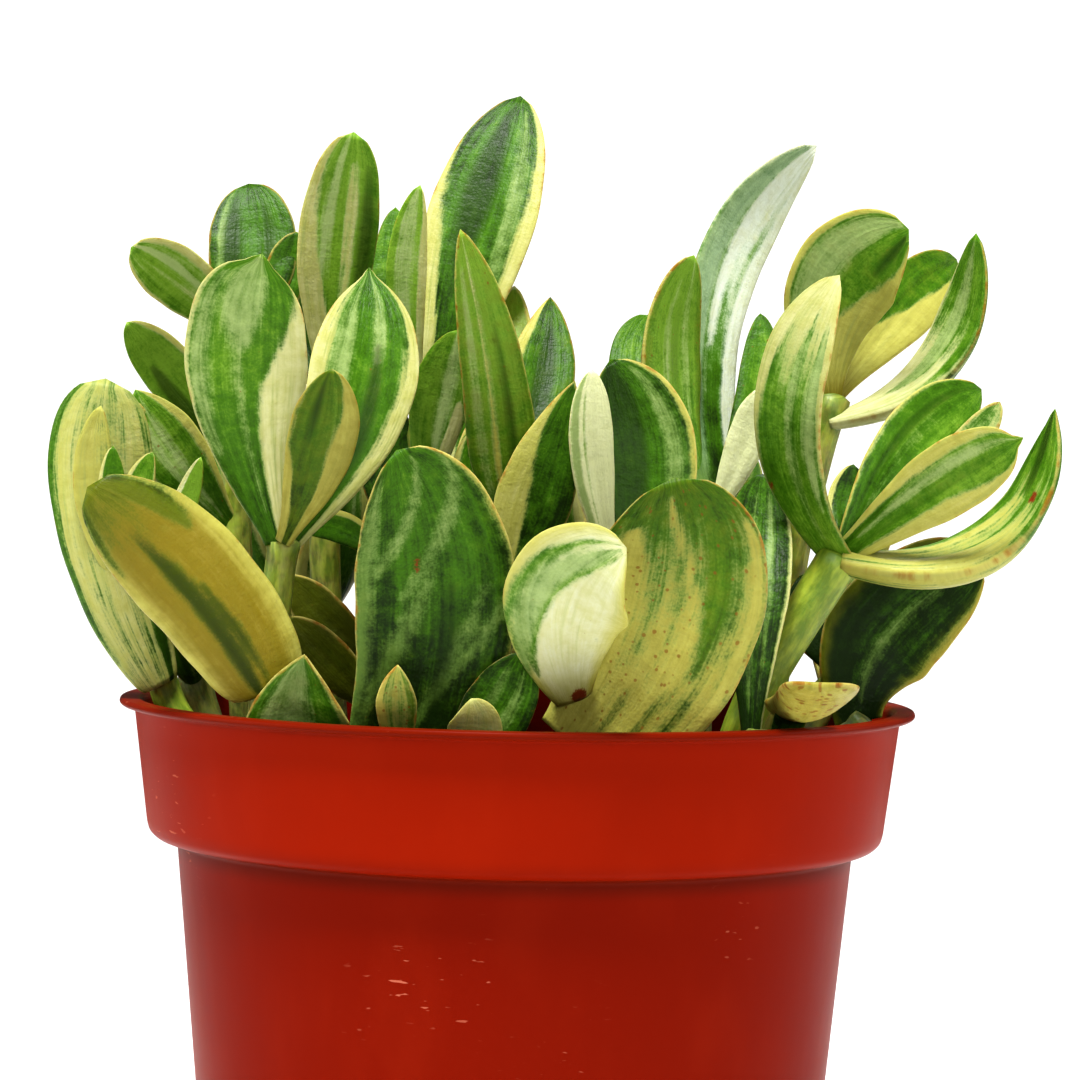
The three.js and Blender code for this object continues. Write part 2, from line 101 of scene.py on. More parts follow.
# Stems and leaves
ROOT_Z = 74
STEM_STRAIGHT_Z = 82.4
STEM_LOW_RADIUS = 2.3
STEM_TOP_RADIUS = 1.9
STEM_SWELL_RADIUS = 2.45
STEM_SWELL_REACH = 3.2
STEM_RING_LIFT = 0.14
STEM_RING_STEP = 1.9
STEM_CORK_Z = (80, 100)
STEM_SIDES = 20
STEM_STEPS = 10
LEAF_RINGS = 40
LEAF_RINGS_END = 0.985
LEAF_SIDES = 36
WIDE_LEAF_SIDES = 60
WIDE_LEAF = 12
LEAF_THICK = 1.2
LEAF_THICK_BY_WIDTH = 0.15
LEAF_UPPER_SHARE = 0.36
LEAF_CUP = 0.12
LEAF_ROUND_EDGE = 1.7
LEAF_RAGGED = (0.014, 0.008)
LEAF_CHANNEL = (0.1, 0.3)
LEAF_ROLL = 0.008
LEAF_SHAPE = (("widest", 0.58), ("point", 0.35), ("neck", 0.25), ("rise", 1.35))
# Painted sheen: each leaf is lighter down its middle, with painted shade towards its margins, foot and
# tip.
LEAF_PAINTED_SHEEN = 0.22
# Painted shade at a leaf's foot and painted light at its tip, added to its tone.
LEAF_PAINTED_SHADING = (-0.12, 0, 0.06)
MARK_SOFTNESS = 0.17
MARK_END = 0.25
BACK_PAIR_STEP = 7
BACK_PAIR_SHRINK = 0.12
BACK_TOP_LIFT = 76
BACK_LEAF_WIDE = 0.4
BACK_LEAF_SAG = 0.1
FRONT = (0, -1, 0)


def rgb(red, green, blue):
    """A colour given as it shows on a screen, 0 to 255."""
    def linear(c):
        c /= 255
        return c / 12.92 if c <= 0.04045 else ((c + 0.055) / 1.055) ** 2.4
    return (linear(red), linear(green), linear(blue), 1)


# Colours
LEAF_DARK = rgb(22, 40, 4)
LEAF_GREEN = rgb(64, 106, 14)
LEAF_LIGHT = rgb(116, 152, 46)
MILKY_DARK = rgb(92, 120, 50)
MILKY_LIGHT = rgb(156, 172, 112)
FROSTED_DARK = rgb(88, 116, 82)
FROSTED_LIGHT = rgb(146, 168, 132)
FROST = rgb(198, 205, 188)
CREAM_PALE = rgb(224, 227, 176)
CREAM_WHITE = rgb(190, 191, 142)
CREAM_GREEN = rgb(172, 168, 84)
CREAM_DULL = rgb(132, 138, 62)
MUSTARD = rgb(116, 100, 14)
OLIVE = rgb(92, 96, 14)
RIM_LIGHT = rgb(190, 176, 104)
RIM_RUST = rgb(150, 88, 30)
SPECK = rgb(116, 72, 20)
SCAR = rgb(118, 46, 18)
# Painted shade: the body's red is darker than the band's orange.
POT_RED = rgb(114, 19, 0)
POT_ORANGE = rgb(134, 26, 0)
# Painted shade, for the lip and under the band.
POT_PAINTED_SHADE = rgb(74, 20, 6)
# Painted shade for the inner wall.
POT_INNER_SHADE = rgb(44, 24, 12)
# Paler red for flow streaks, for rubbing and for the painted highlight on the band's lower step.
POT_PALE_AND_HIGHLIGHT = rgb(168, 52, 22)
POT_SCUFF = rgb(226, 140, 110)
POT_SHEEN = rgb(255, 120, 50)
STEM_GREEN = rgb(92, 120, 20)
STEM_LIGHT = rgb(150, 166, 48)
CORK_DARK = rgb(62, 62, 30)
CORK_LIGHT = rgb(122, 112, 66)
SOIL_DARK = rgb(20, 13, 8)
SOIL_LIGHT = rgb(66, 45, 28)
FIBRE = rgb(112, 82, 50)
PEAT = rgb(24, 15, 9)
BARK = rgb(96, 62, 36)
GRIT = rgb(196, 190, 176)
CRUMB_GRAIN = rgb(58, 40, 26)
FLOOR_LOW = (0.86, 0.86, 0.86, 1)
FLOOR_HIGH = (0.9, 0.9, 0.9, 1)


def unit(rows):
    return rows / np.linalg.norm(rows, axis=-1, keepdims=True)


def circle(sides):
    angle = 2 * np.pi * np.arange(sides) / sides
    return np.stack([np.cos(angle), np.sin(angle)], -1)


def seen(point):
    """A point given as it looks from EYE in the plane of the pot's axis, in its true place."""
    x, depth, z = point
    reach = 1 + depth / -EYE[1]
    return np.array([EYE[0] + (x - EYE[0]) * reach, depth, EYE[2] + (z - EYE[2]) * reach])


SHOOTS = {}


def shoot(name, root, path, **facts):
    """A shoot in sight. The leaves given after it grow on it."""
    points = [seen(point) for point in path]
    SHOOTS["shoot_" + name] = {"root": root, "points": points, "leaves": [], **facts}


def leaf(start, middle, end, wide, **facts):
    """A leaf of the last shoot."""
    leaves = list(SHOOTS.values())[-1]["leaves"]
    placed = {"from": seen(start), "via": seen(middle), "to": seen(end)}
    leaves.append({**placed, "wide": wide, **facts})


# fade is painted shade and light along the leaf; a leaf without it is darker at its foot and lighter at
# its tip.
# Each shoot in sight: where its stem stands in the soil, and the points that it passes, as
# (x, depth, z) the way they look from EYE in the plane of the pot's axis. stout is the radius of
# its top, and young how green it is.
# A leaf runs from its foot via its middle to its tip and is wide across. Its shape: turn turns its
# face about its length, in degrees, widest says where it is widest as a share of its length, point
# how pointed it ends, neck how wide its foot is, rise how late it widens from there, thick how
# thick it is, and nib how long the small point at its tip is.
# Its colours: tone is how light its green is, fade what is added to that at foot, middle and tip,
# yellow how yellow its cream is, from frosty white below 0 to mustard at 1, with sides added
# towards its sides and foot at its foot, and streak how streaked it is. base is how cream it is at
# foot, middle and tip, from -1 for green to 1 for cream, and left and right are the widths of its
# cream margins there. One number stands for all three. edge is how far its warm edge reaches in,
# and specks how many brown specks it has.
# A mark is a stripe: its kind, where it lies across the leaf at foot and tip, from -1 to 1, its
# half width, and the shares of the length where it starts and ends. A spot is a scar: its place
# across and along the leaf, and its radius.
shoot("right_fan", (27.6, -17), [(29.8, -20, 87), (33.6, -20, 95.3), (42.2, -20, 109.8)], young=1,
    stout=2.8)
leaf((42.6, -20, 109.3), (35.2, -27.5, 127), (41.4, -34, 147.3), 10.4, turn=-38, widest=0.64, neck=0.4,
    tone=0.5, base=(-1, -1, 0.7), fade=(0.3, 0, 0.1), left=(0, 0.12, 0.7), right=(0, 0.1, 0.4),
    yellow=0.28, streak=0.7, edge=0.3, foot=0.6, marks=[("pale", 0.1, 0.1, 0.14, 0.1, 0.95),
    ("pale", 0.75, 0.7, 0.2, 0.2, 0.95), ("green", -0.5, -0.45, 0.14, 0.2, 0.85)],
    spots=[(-0.85, 0.3, 0.3)])
leaf((42.7, -19, 109.8), (51, -13, 124.2), (60.5, -7, 132.6), 9.8, neck=0.32, tone=0.44,
    left=(0.08, 0.05, 0.03), yellow=0.45, edge=0.35, marks=[("pale", -0.1, -0.1, 0.06, 0.05, 0.8),
    ("dark", -0.5, -0.4, 0.1, 0.2, 1)])
leaf((42.7, -20, 110.2), (55, -28, 119.7), (65.2, -35, 125.8), 9.2, point=0, neck=0.36, tone=0.62,
    left=(0.2, 0.45, 0.2), right=(0.5, 0.55, 0.1), yellow=0.5, streak=0.55, edge=0.35, nib=1.2,
    marks=[("pale", -0.35, -0.3, 0.16, 0.1, 1), ("dark", 0.1, 0.1, 0.07, 0.1, 1)])
leaf((42.5, -21, 109.7), (62.3, -23, 112.2), (70.2, -25, 129.3), 10.5, turn=-66, neck=0.42, thick=4.8,
    tone=0.55, base=(0.2, 0.3, -1.2), fade=(0.1, 0, 0.1), yellow=0.5, streak=1, edge=0.4, nib=0.9,
    foot=0.3, marks=[("green", -0.75, -0.7, 0.2, 0, 1.1), ("cream", -0.3, -0.2, 0.12, 0.1, 0.9),
    ("dark", -0.1, -0.1, 0.35, 0.72, 1.2)], spots=[(0.4, 0.74, 0.7)])
leaf((42.6, -19.3, 110.3), (42.8, -15, 116), (43.8, -13, 122.3), 5, tone=0.15, left=0.3, yellow=0.4)
leaf((42.7, -19, 110), (55.8, -18, 121.8), (63, -16, 131), 4.8, tone=0.5, base=-0.2, yellow=0.2,
    edge=0.8)

shoot("left_trio", (-32, -24), [(-33, -26, 95), (-31.5, -28, 110.5)])
# Its pale stripe near the margin at -0.8 and its broad pale patch towards its tip are painted
# highlights.
leaf((-32, -29, 110.5), (-36.4, -32, 130), (-35.3, -37, 147.2), 15.3, turn=-10, widest=0.62, point=-0.3,
    tone=0.45, yellow=0.2, streak=0.5, edge=0.35, nib=1.3, left=(0, 0.04, 0.04),
    right=(0.85, 0.8, -0.1), marks=[("pale", -0.8, -0.75, 0.12, 0.3, 0.95),
    ("pale", -0.1, -0.15, 0.05, 0.1, 0.8), ("pale", -0.1, -0.1, 0.4, 0.65, 1.2)])
# Its pale patch over the last third of its length is a painted highlight.
leaf((-31, -27, 110.5), (-22.5, -23, 128.5), (-20.8, -15, 145.8), 14, turn=14, tone=0.42,
    left=(0.2, 0.26, 0.2), right=(0.35, 0.36, 0.16), yellow=0.3, streak=0.8, edge=0.3, nib=1.4,
    marks=[("dark", 0.4, 0.1, 0.16, 0.1, 0.75), ("pale", -0.4, -0.45, 0.2, 0.2, 1),
    ("pale", 0.2, 0.2, 0.2, 0.65, 1)])
leaf((-31.5, -30, 110.5), (-27, -37, 122.5), (-25.5, -43, 133.5), 8.5, left=(0.9, 0.1, 0),
    right=(0.5, 0.75, 0.3), yellow=0.72, streak=0.6, marks=[("dark", -0.5, -0.3, 0.14, 0.5, 1)])

shoot("left_rim", (-27, -32), [(-29.5, -33.6, 85.5), (-32.8, -33.8, 90.6)])
leaf((-33, -34, 90.6), (-42.8, -36, 104.6), (-57.6, -40, 117.2), 14.4, turn=180, widest=0.45,
    point=-0.1, neck=0.45, rise=0.4, tone=0.2, base=(0.9, 0.9, -0.4), yellow=1, sides=-0.3, streak=0.3,
    edge=0.2, marks=[("dark", -0.2, -0.15, 0.15, -0.2, 0.82), ("dark", -0.03, -0.08, 0.1, 0.1, 0.68),
    ("dark", 0.14, 0.07, 0.08, 0, 0.5), ("green", 0.6, 0.65, 0.3, 0.65, 1.2),
    ("green", -0.85, -0.85, 0.14, 0.7, 1.1)])
leaf((-28.8, -34.2, 83.5), (-29.1, -36.8, 89), (-28.4, -39.5, 95.6), 12.6, widest=0.3, point=1,
    neck=0.45, base=-0.75, right=0.1, yellow=0.5, specks=0.2, edge=0.7,
    marks=[("pale", -0.2, -0.2, 0.5, -0.1, 1.1)])

shoot("far_left", (-41, -8), [(-46.2, -8.5, 89), (-49.5, -9, 100)], young=0.9)
leaf((-47.5, -10.8, 91.1), (-54.9, -13.5, 111), (-55.4, -15, 131.6), 13.4, turn=180, widest=0.7,
    point=-0.1, neck=0.36, rise=0.7, tone=0.5, base=(0.2, 0.2, 0.05), yellow=0.38, streak=1,
    marks=[("green", -0.95, -1, 0.12, 0.1, 1), ("cream", 0.1, 0, 0.1, -0.1, 0.7),
    ("dark", 0.75, 0.7, 0.2, -0.1, 0.45)])
leaf((-49.3, -9.5, 99), (-54.5, -9, 119.5), (-50, -11, 127.5), 7.6, tone=0.55, base=0.3, yellow=0.55,
    streak=0.9, specks=0.6, edge=0.7, marks=[("green", 0.6, 0.7, 0.3, 0.45, 1.1)])
leaf((-50, -13, 100), (-56, -16, 114), (-56, -19, 128), 5.5, tone=0.5, base=0.3, yellow=0.55,
    streak=0.9, marks=[("green", 0.6, 0.5, 0.3, 0, 0.55)])
leaf((-50, -13, 100), (-53.5, -17, 112), (-54.3, -19, 122.7), 4, tone=0.5, left=0.3, yellow=0.3)
leaf((-50, -12, 100), (-46, -14, 111), (-42.6, -16, 121.5), 3.5, tone=1.15, left=0.4)
leaf((-50, -13, 100), (-51.5, -17, 112), (-49, -19, 122), 4.5, tone=0.5, left=(0.5, 0.4, 0.2),
    right=0.1)

shoot("left_back", (-36, 4), [(-37, 2, 100), (-38, 2, 118), (-37, 3, 136)])
leaf((-38, 1, 112), (-45.8, -3, 121.5), (-51.5, -4, 130.2), 9, point=0.8, tone=0.62,
    right=(0.2, 0.25, 0.3), left=(0.02, 0.04, 0.1), yellow=0.5, specks=0.3, streak=0.6,
    marks=[("pale", 0, 0, 0.1, 0.1, 0.95), ("pale", -0.4, -0.3, 0.1, 0.1, 0.9)])
leaf((-38, 1, 121), (-45.6, -1, 131.3), (-52.8, -5, 139.1), 7.5, turn=-12, tone=0.76,
    right=(0.05, 0.15, 0.3), yellow=0.4, streak=0.8, marks=[("dark", -0.4, -0.4, 0.3, -0.1, 0.7)])
leaf((-37, 2, 136), (-44.2, -4, 143.7), (-52.4, -9, 149), 8.3, turn=-15, point=0, tone=0.84, base=-0.45,
    streak=1, right=(0.2, 0.25, 0.3), left=(0.05, 0.1, 0.2), yellow=0.3, edge=0.3,
    marks=[("pale", 0.3, 0.3, 0.2, 0, 1)])
leaf((-37, 4, 135), (-36.2, 7, 147), (-37, 12, 157.7), 11.8, point=0.1, tone=0.3, streak=0.55, edge=0.6,
    marks=[("dark", -0.45, -0.45, 0.2, 0.3, 0.95), ("pale", -0.75, -0.7, 0.1, 0.1, 0.95),
    ("dark", 0.4, 0.38, 0.12, 0.2, 0.9)])
leaf((-36.5, 4, 134), (-32.5, 6, 144), (-30.5, 7, 151.5), 6, tone=0.3, edge=0.7)

shoot("left_tall", (-25, 8), [(-26, 5, 110), (-26, 4, 131)])
leaf((-26, 4, 131), (-25.4, 0, 148), (-23.2, -5, 164.8), 10.4, turn=10, point=0, tone=0.78,
    left=(1.4, 0.5, 0.2), yellow=0.32, streak=0.8, edge=0.3,
    marks=[("cream", 0.3, 0.2, 0.09, 0.15, 0.9), ("dark", 0.75, 0.7, 0.2, 0.1, 0.9),
    ("pale", -0.3, -0.3, 0.15, 0.4, 1)])
leaf((-26.5, 5, 130), (-30, 11, 140), (-29, 15, 149), 8, tone=0.25, edge=0.5)

shoot("centre_tall", (-13, -6), [(-13.5, -6, 105), (-13, -4, 127)])
leaf((-13, -5, 126), (-6.9, -1, 150), (-1.3, 7, 170), 14.6, turn=-14, tone=0.25, left=(0.9, 0.3, -0.15),
    right=(0.02, 0.28, 0.12), yellow=0.34, streak=0.55, edge=0.5,
    marks=[("dark", -0.2, -0.15, 0.3, 0.4, 0.95), ("pale", 0.55, 0.5, 0.12, 0.2, 0.95)])
leaf((-13.5, -6, 125), (-15.9, -10, 143), (-14.3, -14, 158), 5.2, tone=0.92, right=(0.5, 0.4, 0.25),
    yellow=0.3, streak=1, marks=[("pale", -0.2, -0.2, 0.5, -0.1, 1.1),
    ("green", -0.5, -0.5, 0.12, 0, 1)])
leaf((-13.3, -3.5, 125), (-17, 3, 141), (-17.5, 8, 155), 6, tone=0.5)
leaf((-13, -6, 116), (-11.4, -11, 128), (-9, -14, 139), 7.6, tone=0.74, base=-1, yellow=0.25,
    streak=0.6, marks=[("cream", 0.6, 0.7, 0.35, -0.1, 0.6), ("pale", 0.2, 0.2, 0.3, 0.2, 1.1)])
leaf((-13.5, -5.5, 110), (-17.2, -3, 118.5), (-16.8, -1, 129), 8, tone=0.05, streak=0.5, yellow=0.4,
    edge=0.3)

shoot("centre_front", (-13, -36), [(-14, -38, 84)])
leaf((-14, -38, 82), (-11.4, -42, 105.5), (-16.8, -48, 122.9), 19.2, turn=6, widest=0.42, point=0.12,
    neck=0.85, tone=0.2, fade=(-0.25, 0, 0.2), right=(0, 0.03, 0.08), yellow=0.5, edge=0.6, streak=0.2,
    marks=[("pale", -1, -0.8, 0.14, -0.1, 0.95), ("pale", -1.03, 0.81, 0.14, 0.02, 0.56),
    ("pale", -1.75, 1.15, 0.12, 0.45, 0.95), ("pale", -2.25, 0.44, 0.09, 0.3, 0.97),
    ("pale", -0.4, 2.5, 0.1, 0, 0.5), ("pale", -0.2, 1.5, 0.08, 0.1, 0.5),
    ("dark", 0.1, 0.3, 0.12, 0.1, 0.5)], spots=[(-0.2, 0.57, 0.5)])
leaf((-15, -39, 82), (-16, -44, 88), (-16, -46, 94.5), 5, point=0.8, tone=0.5, base=-0.1,
    left=(0.6, 0.5, 0.3), yellow=0.7, specks=0.45, edge=0.6, streak=0.7)
leaf((-10, -38, 80), (-5.9, -44, 85), (-6.2, -47, 90.2), 6.5, tone=0.6, base=0.3, streak=0.7)
leaf((-10.5, -38, 80), (-3.5, -41, 87.5), (0.4, -41.5, 96.5), 8.5, tone=0.12, streak=0.5, yellow=0.3,
    edge=0.2, marks=[("pale", 0.4, 0.3, 0.12, -0.1, 0.9), ("pale", -0.3, -0.3, 0.08, 0.2, 0.9)])

shoot("centre_mid", (-3, -20), [(-3, -19, 100), (-2.5, -17, 112)])
leaf((-1.6, -17.5, 111.5), (-4, -24, 132.5), (-8.9, -30, 152.3), 8.8, widest=0.3, point=0.45, tone=0.76,
    fade=(-0.35, 0, 0.22), yellow=0.66, streak=0.4, edge=0.5, specks=0.2,
    marks=[("cream", -0.2, -0.1, 0.04, 0.1, 1), ("pale", -0.6, -0.55, 0.1, 0.1, 0.9),
    ("dark", 0.3, 0.3, 0.12, 0, 0.7)])
leaf((-2.4, -16.6, 111), (-2, -8, 130), (-1.6, 2, 145), 6, tone=0.95, left=(0.2, 0.2, 0.3), yellow=0.8,
    edge=0.9)
leaf((-2.4, -16.8, 111.3), (1.6, -9, 130), (3.2, -1, 143.6), 9, point=0.9, tone=0.3,
    left=(0.1, 0.3, 0.45), yellow=0.55, streak=0.5, edge=0.5, marks=[("dark", 0.1, 0.1, 0.3, 0.2, 0.9)])
leaf((-2.2, -18.8, 104.5), (2.4, -22.5, 119.3), (6.7, -24, 132.6), 9.8, widest=0.4, point=0.9,
    tone=0.14, fade=(-0.1, 0, 0.25), left=(1.1, 0.75, 0.1), yellow=0.5, edge=0.6, streak=0.6)

shoot("front_pair", (10, -34.5), [(9.8, -37, 84.5)], young=0.3)
leaf((7.3, -39.7, 90.6), (6.3, -55, 103.4), (14, -61, 110.6), 15, widest=0.55, neck=0.3, rise=1,
    tone=0.6, base=0.6, yellow=0, sides=0.5, streak=0.3, foot=0.9,
    marks=[("pale", -1.15, 0.07, 0.26, 0.1, 1.05), ("green", -0.92, 0.3, 0.09, 0.15, 1),
    ("green", -1.4, -0.3, 0.09, 0.3, 1.05)], spots=[(0.3, 0.02, 1)])
leaf((9.4, -38.6, 82.6), (20.1, -42.5, 101.5), (19.9, -49, 120), 21.6, turn=-6, widest=0.5, point=-0.1,
    neck=0.68, tone=0.42, base=(0.5, 0.15, -0.9), fade=(-0.3, 0, 0), yellow=0.7, sides=-0.05,
    streak=0.5, edge=0.5, specks=0.5, marks=[("green", 0.5, 0.4, 0.2, 0.35, 1.2),
    ("green", -0.25, -0.2, 0.05, 0.3, 0.8), ("cream", -0.7, -0.6, 0.3, 0.1, 0.85),
    ("cream", 0.75, -0.2, 0.06, 0.15, 0.95), ("cream", 0.85, 0.9, 0.1, 0.1, 0.85),
    ("dark", -0.1, -0.15, 0.06, -0.2, 0.25), ("dark", 0.3, 0.25, 0.08, -0.2, 0.3),
    ("dark", 0.62, 0.6, 0.07, -0.2, 0.32)])
leaf((12.5, -38, 80.5), (20.5, -39, 84), (24, -38.5, 89), 4.6)

shoot("centre_pair", (11, -24), [(11, -23, 100), (12.5, -21, 108)])
leaf((12.2, -21.8, 108), (9.2, -27.5, 121.5), (8.9, -31, 134.2), 6, turn=20, widest=0.6, tone=1.3,
    base=0.8, yellow=0.05, streak=0.35, marks=[("pale", -0.75, -0.75, 0.3, 0, 1.1),
    ("green", -0.3, -0.3, 0.05, 0, 0.9)])
leaf((12.6, -21, 107), (16, -18.5, 121), (11.3, -17.5, 135.5), 14, tone=0.26, left=(0.03, 0.02, 0.02),
    right=(0.05, 0.08, 0.14), yellow=0.3, sides=0.3, streak=0.4, edge=0.6,
    marks=[("pale", 0.6, 0.55, 0.14, 0.25, 0.95), ("dark", -0.45, -0.35, 0.5, -0.1, 1.1)])

shoot("right_tall", (23, -10), [(24, -12, 100), (25, -12, 118)])
leaf((24.6, -11.5, 116), (19, -11, 134), (22.1, -11, 149.5), 11.5, turn=48, tone=0.76,
    fade=(-0.15, 0, 0.2), yellow=0.42, sides=0.35, streak=0.6, edge=0.7, specks=0.2,
    marks=[("pale", 0.4, 0.4, 0.1, 0.1, 1.05), ("pale", -0.25, -0.1, 0.08, 0.1, 0.9),
    ("dark", 0.1, 0.1, 0.08, 0.1, 0.8)])
leaf((24.6, -11, 116.5), (16.3, -2, 131), (16.3, 5, 141.5), 8.8, tone=0.5, streak=0.3)
leaf((26.2, -11, 117), (25.1, 1, 144.5), (38, 9, 164.3), 10.6, turn=35, widest=0.62, neck=0.7, tone=0.6,
    base=(-1, -0.1, 0.9), fade=(-0.4, 0, 0.15), yellow=-0.3, sides=0.1, foot=0.6, streak=0.4, edge=0.1,
    marks=[("pale", -0.65, -0.6, 0.4, -0.1, 1.2), ("cream", -0.1, 0.1, 0.14, 0.35, 1.1),
    ("green", 0.45, 0.6, 0.12, 0.45, 0.88), ("cream", 0.6, 1, 0.28, 0, 0.85)])
leaf((25.2, -11, 117), (30.3, -5, 131), (31, -1, 142), 5, tone=0.45, specks=0.3)
leaf((25, -12, 114), (29.3, -14, 124.5), (31.8, -15, 132.3), 5.2, tone=1.6, base=0.8, yellow=0.1,
    edge=0.2, streak=0.3)

shoot("right_upper", (32, 8), [(34, 6, 95), (36.5, 3, 112), (41, 2, 131)])
leaf((40.5, 2, 130), (40.9, -2, 144.6), (50.4, -8, 153.5), 14, point=0.1, tone=0.55, left=0.1,
    right=(1.6, 0.6, 0.03), yellow=0.58, foot=0.9, streak=0.6, edge=0.35,
    marks=[("pale", -0.5, -0.45, 0.35, 0.1, 1.1), ("dark", 0.4, 0.4, 0.2, 0.72, 1.1)])
leaf((41, 3, 131), (49.8, 7, 142.9), (56.8, 13, 149.7), 9, tone=0.35, right=(2.4, 0.9, 0.25),
    yellow=0.6, foot=0.6, streak=0.5, edge=0.5)
leaf((40.5, 1, 128), (55, -2, 136.3), (59.3, -6, 153.2), 10.5, turn=-62, thick=3.4, tone=0.55,
    base=(0.8, 0.3, -1.3), left=(1.5, 0.2, 0), yellow=0.15, streak=0.6, edge=0.3,
    marks=[("pale", -0.2, -0.1, 0.3, 0.2, 1), ("green", 0.7, 0.75, 0.2, 0.3, 1.2)])

shoot("right_low", (38, -7), [(46, -6, 88)], young=0.3)
leaf((45.2, -6, 88.2), (48, -5, 99.8), (61.2, -2, 110.3), 16, turn=10, widest=0.55, point=0, neck=0.4,
    tone=0.04, right=(0.12, 0.14, 0.14), yellow=0.45, sides=0.4, edge=0.5, streak=0.55,
    marks=[("pale", 0.1, 0.1, 0.08, 0.1, 0.95), ("dark", -0.6, -0.5, 0.25, 0, 1.1)])
leaf((46, -6, 90.6), (41.4, -3.5, 100.6), (36.9, -2, 107.3), 10.5, widest=0.6, tone=-0.15, streak=0.4,
    yellow=0.4, edge=0.3)

shoot("right_rim", (31, -30), [(31, -31, 86)])
leaf((31, -31, 85), (31.2, -26, 106), (31.8, -14, 120.8), 8.8, tone=0.15, right=(0.1, 0.12, 0.1),
    yellow=0.2, streak=0.6, marks=[("pale", -0.2, -0.2, 0.12, 0.1, 0.9),
    ("pale", 0.35, 0.35, 0.1, 0.1, 0.9)])
leaf((35, -31, 90.3), (39.3, -42, 91.4), (40, -52, 93), 9.5, widest=0.6, point=-0.3, neck=0.5,
    thick=4.2, face=(0, 0, 1), tone=0.5, base=0.5, yellow=0.75, specks=0.9, edge=0.5, streak=0.6)
leaf((33, -32, 84), (36, -34, 88), (36.5, -35, 91.5), 4, tone=0.2)

shoot("inner_left", (-18, -16), [(-18, -14, 96), (-17, -10, 107)])
leaf((-18, -14, 94.5), (-25, -15, 99.9), (-31, -16, 106), 6, tone=0, right=0.12, yellow=0.9, edge=0.7)
leaf((-18, -15, 88), (-24, -18, 93.8), (-30.5, -19, 100.5), 6, tone=0, right=0.12, yellow=0.9, edge=0.7)
leaf((-17, -10, 106.5), (-23, -10, 112.2), (-31, -10, 112.5), 4.2, tone=0.3, right=(0.3, 0.3, 0.2),
    yellow=0.5)

# Shoots behind those: where the stem stands in the soil, its top, both in their true places, the
# bearing of its lowest pair of leaves in degrees, its number of pairs, the length of its lowest
# leaves, and how steeply those rise in degrees
BACK_SHOOTS = (
    ((-30, 25), (-34, 31, 108), 45, 3, 31, 55),
    ((-5, 27), (-6, 31, 108), 80, 3, 30, 55),
    ((22, 23), (26, 27, 104), 75, 3, 30, 55),
    ((38, 13), (46, 17, 97), 80, 2, 25, 50),
    ((-41, 9), (-46, 11, 97), 85, 2, 21, 50),
    ((9, 38), (10, 43, 97), 80, 2, 27, 54),
    ((-2, 5), (-3, 4, 101), 15, 2, 30, 58),
    ((15, 6), (14, 9, 97), 85, 2, 27, 58),
)
for number, facts in enumerate(BACK_SHOOTS, 1):
    SHOOTS[f"shoot_back_{number}"] = dict(zip(("root", "top", "around", "pairs", "long", "low"), facts))


def catmull(points, steps):
    """Points along a smooth curve through the given ones."""
    ends = [2 * points[0] - points[1]] + list(points) + [2 * points[-1] - points[-2]]
    line = []
    for i in range(1, len(ends) - 2):
        a, b, c, d = ends[i - 1:i + 3]
        for t in np.arange(steps) / steps:
            bend = (2 * a - 5 * b + 4 * c - d) * t * t + (3 * b - a - 3 * c + d) * t ** 3
            line.append(0.5 * (2 * b + (c - a) * t + bend))
    return np.array(line + [points[-1]])


class Shell:
    """The vertices, faces and marks of one piece while it is made, in millimetres."""

    LAYERS = ("grain", "marks", "tint", "touch")

    def __init__(self):
        self.points = []
        self.faces = []
        self.kinds = []
        self.layers = {name: [] for name in self.LAYERS}
        self.count = 0

    def add(self, first, rings, last, kind=0, **layers):
        """Skins rings of points, closed by a point at either end."""
        number, sides = rings.shape[:2]
        base = self.count
        self.points += [np.atleast_2d(first), rings.reshape(-1, 3), np.atleast_2d(last)]
        self.count += number * sides + 2
        side = np.arange(sides)
        after = (side + 1) % sides
        start = base + 1
        faces = [(base, start + b, start + a) for a, b in zip(side, after)]
        for ring in range(number - 1):
            low = start + ring * sides
            high = low + sides
            faces += [(low + a, low + b, high + b, high + a) for a, b in zip(side, after)]
        top = start + (number - 1) * sides
        faces += [(top + a, top + b, self.count - 1) for a, b in zip(side, after)]
        self.faces += faces
        self.kinds += [kind] * len(faces)
        for name in self.LAYERS:
            values = layers.get(name)
            if values is None:
                values = np.zeros((number, sides, 3))
            flat = values.reshape(-1, 3)
            self.layers[name] += [values[0].mean(0)[None], flat, values[-1].mean(0)[None]]

    def piece(self, name, materials, slot, replaced=()):
        """The finished piece as an object that rides on the body."""
        mesh = bpy.data.meshes.new(name)
        points = np.concatenate(self.points) * MM
        mesh.from_pydata([tuple(map(float, p)) for p in points], [], self.faces)
        for layer, parts in self.layers.items():
            data = np.concatenate(parts).astype(np.float32)
            mesh.attributes.new(layer, "FLOAT_VECTOR", "POINT").data.foreach_set("vector", data.ravel())
        mesh.polygons.foreach_set("use_smooth", [True] * len(self.faces))
        for material in materials:
            mesh.materials.append(material)
        mesh.polygons.foreach_set("material_index", self.kinds)
        mesh.update()
        thing = bpy.data.objects.new(name, mesh)
        bpy.context.collection.objects.link(thing)
        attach(thing, "root")
        if replaced:
            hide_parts(*replaced)
        return thing


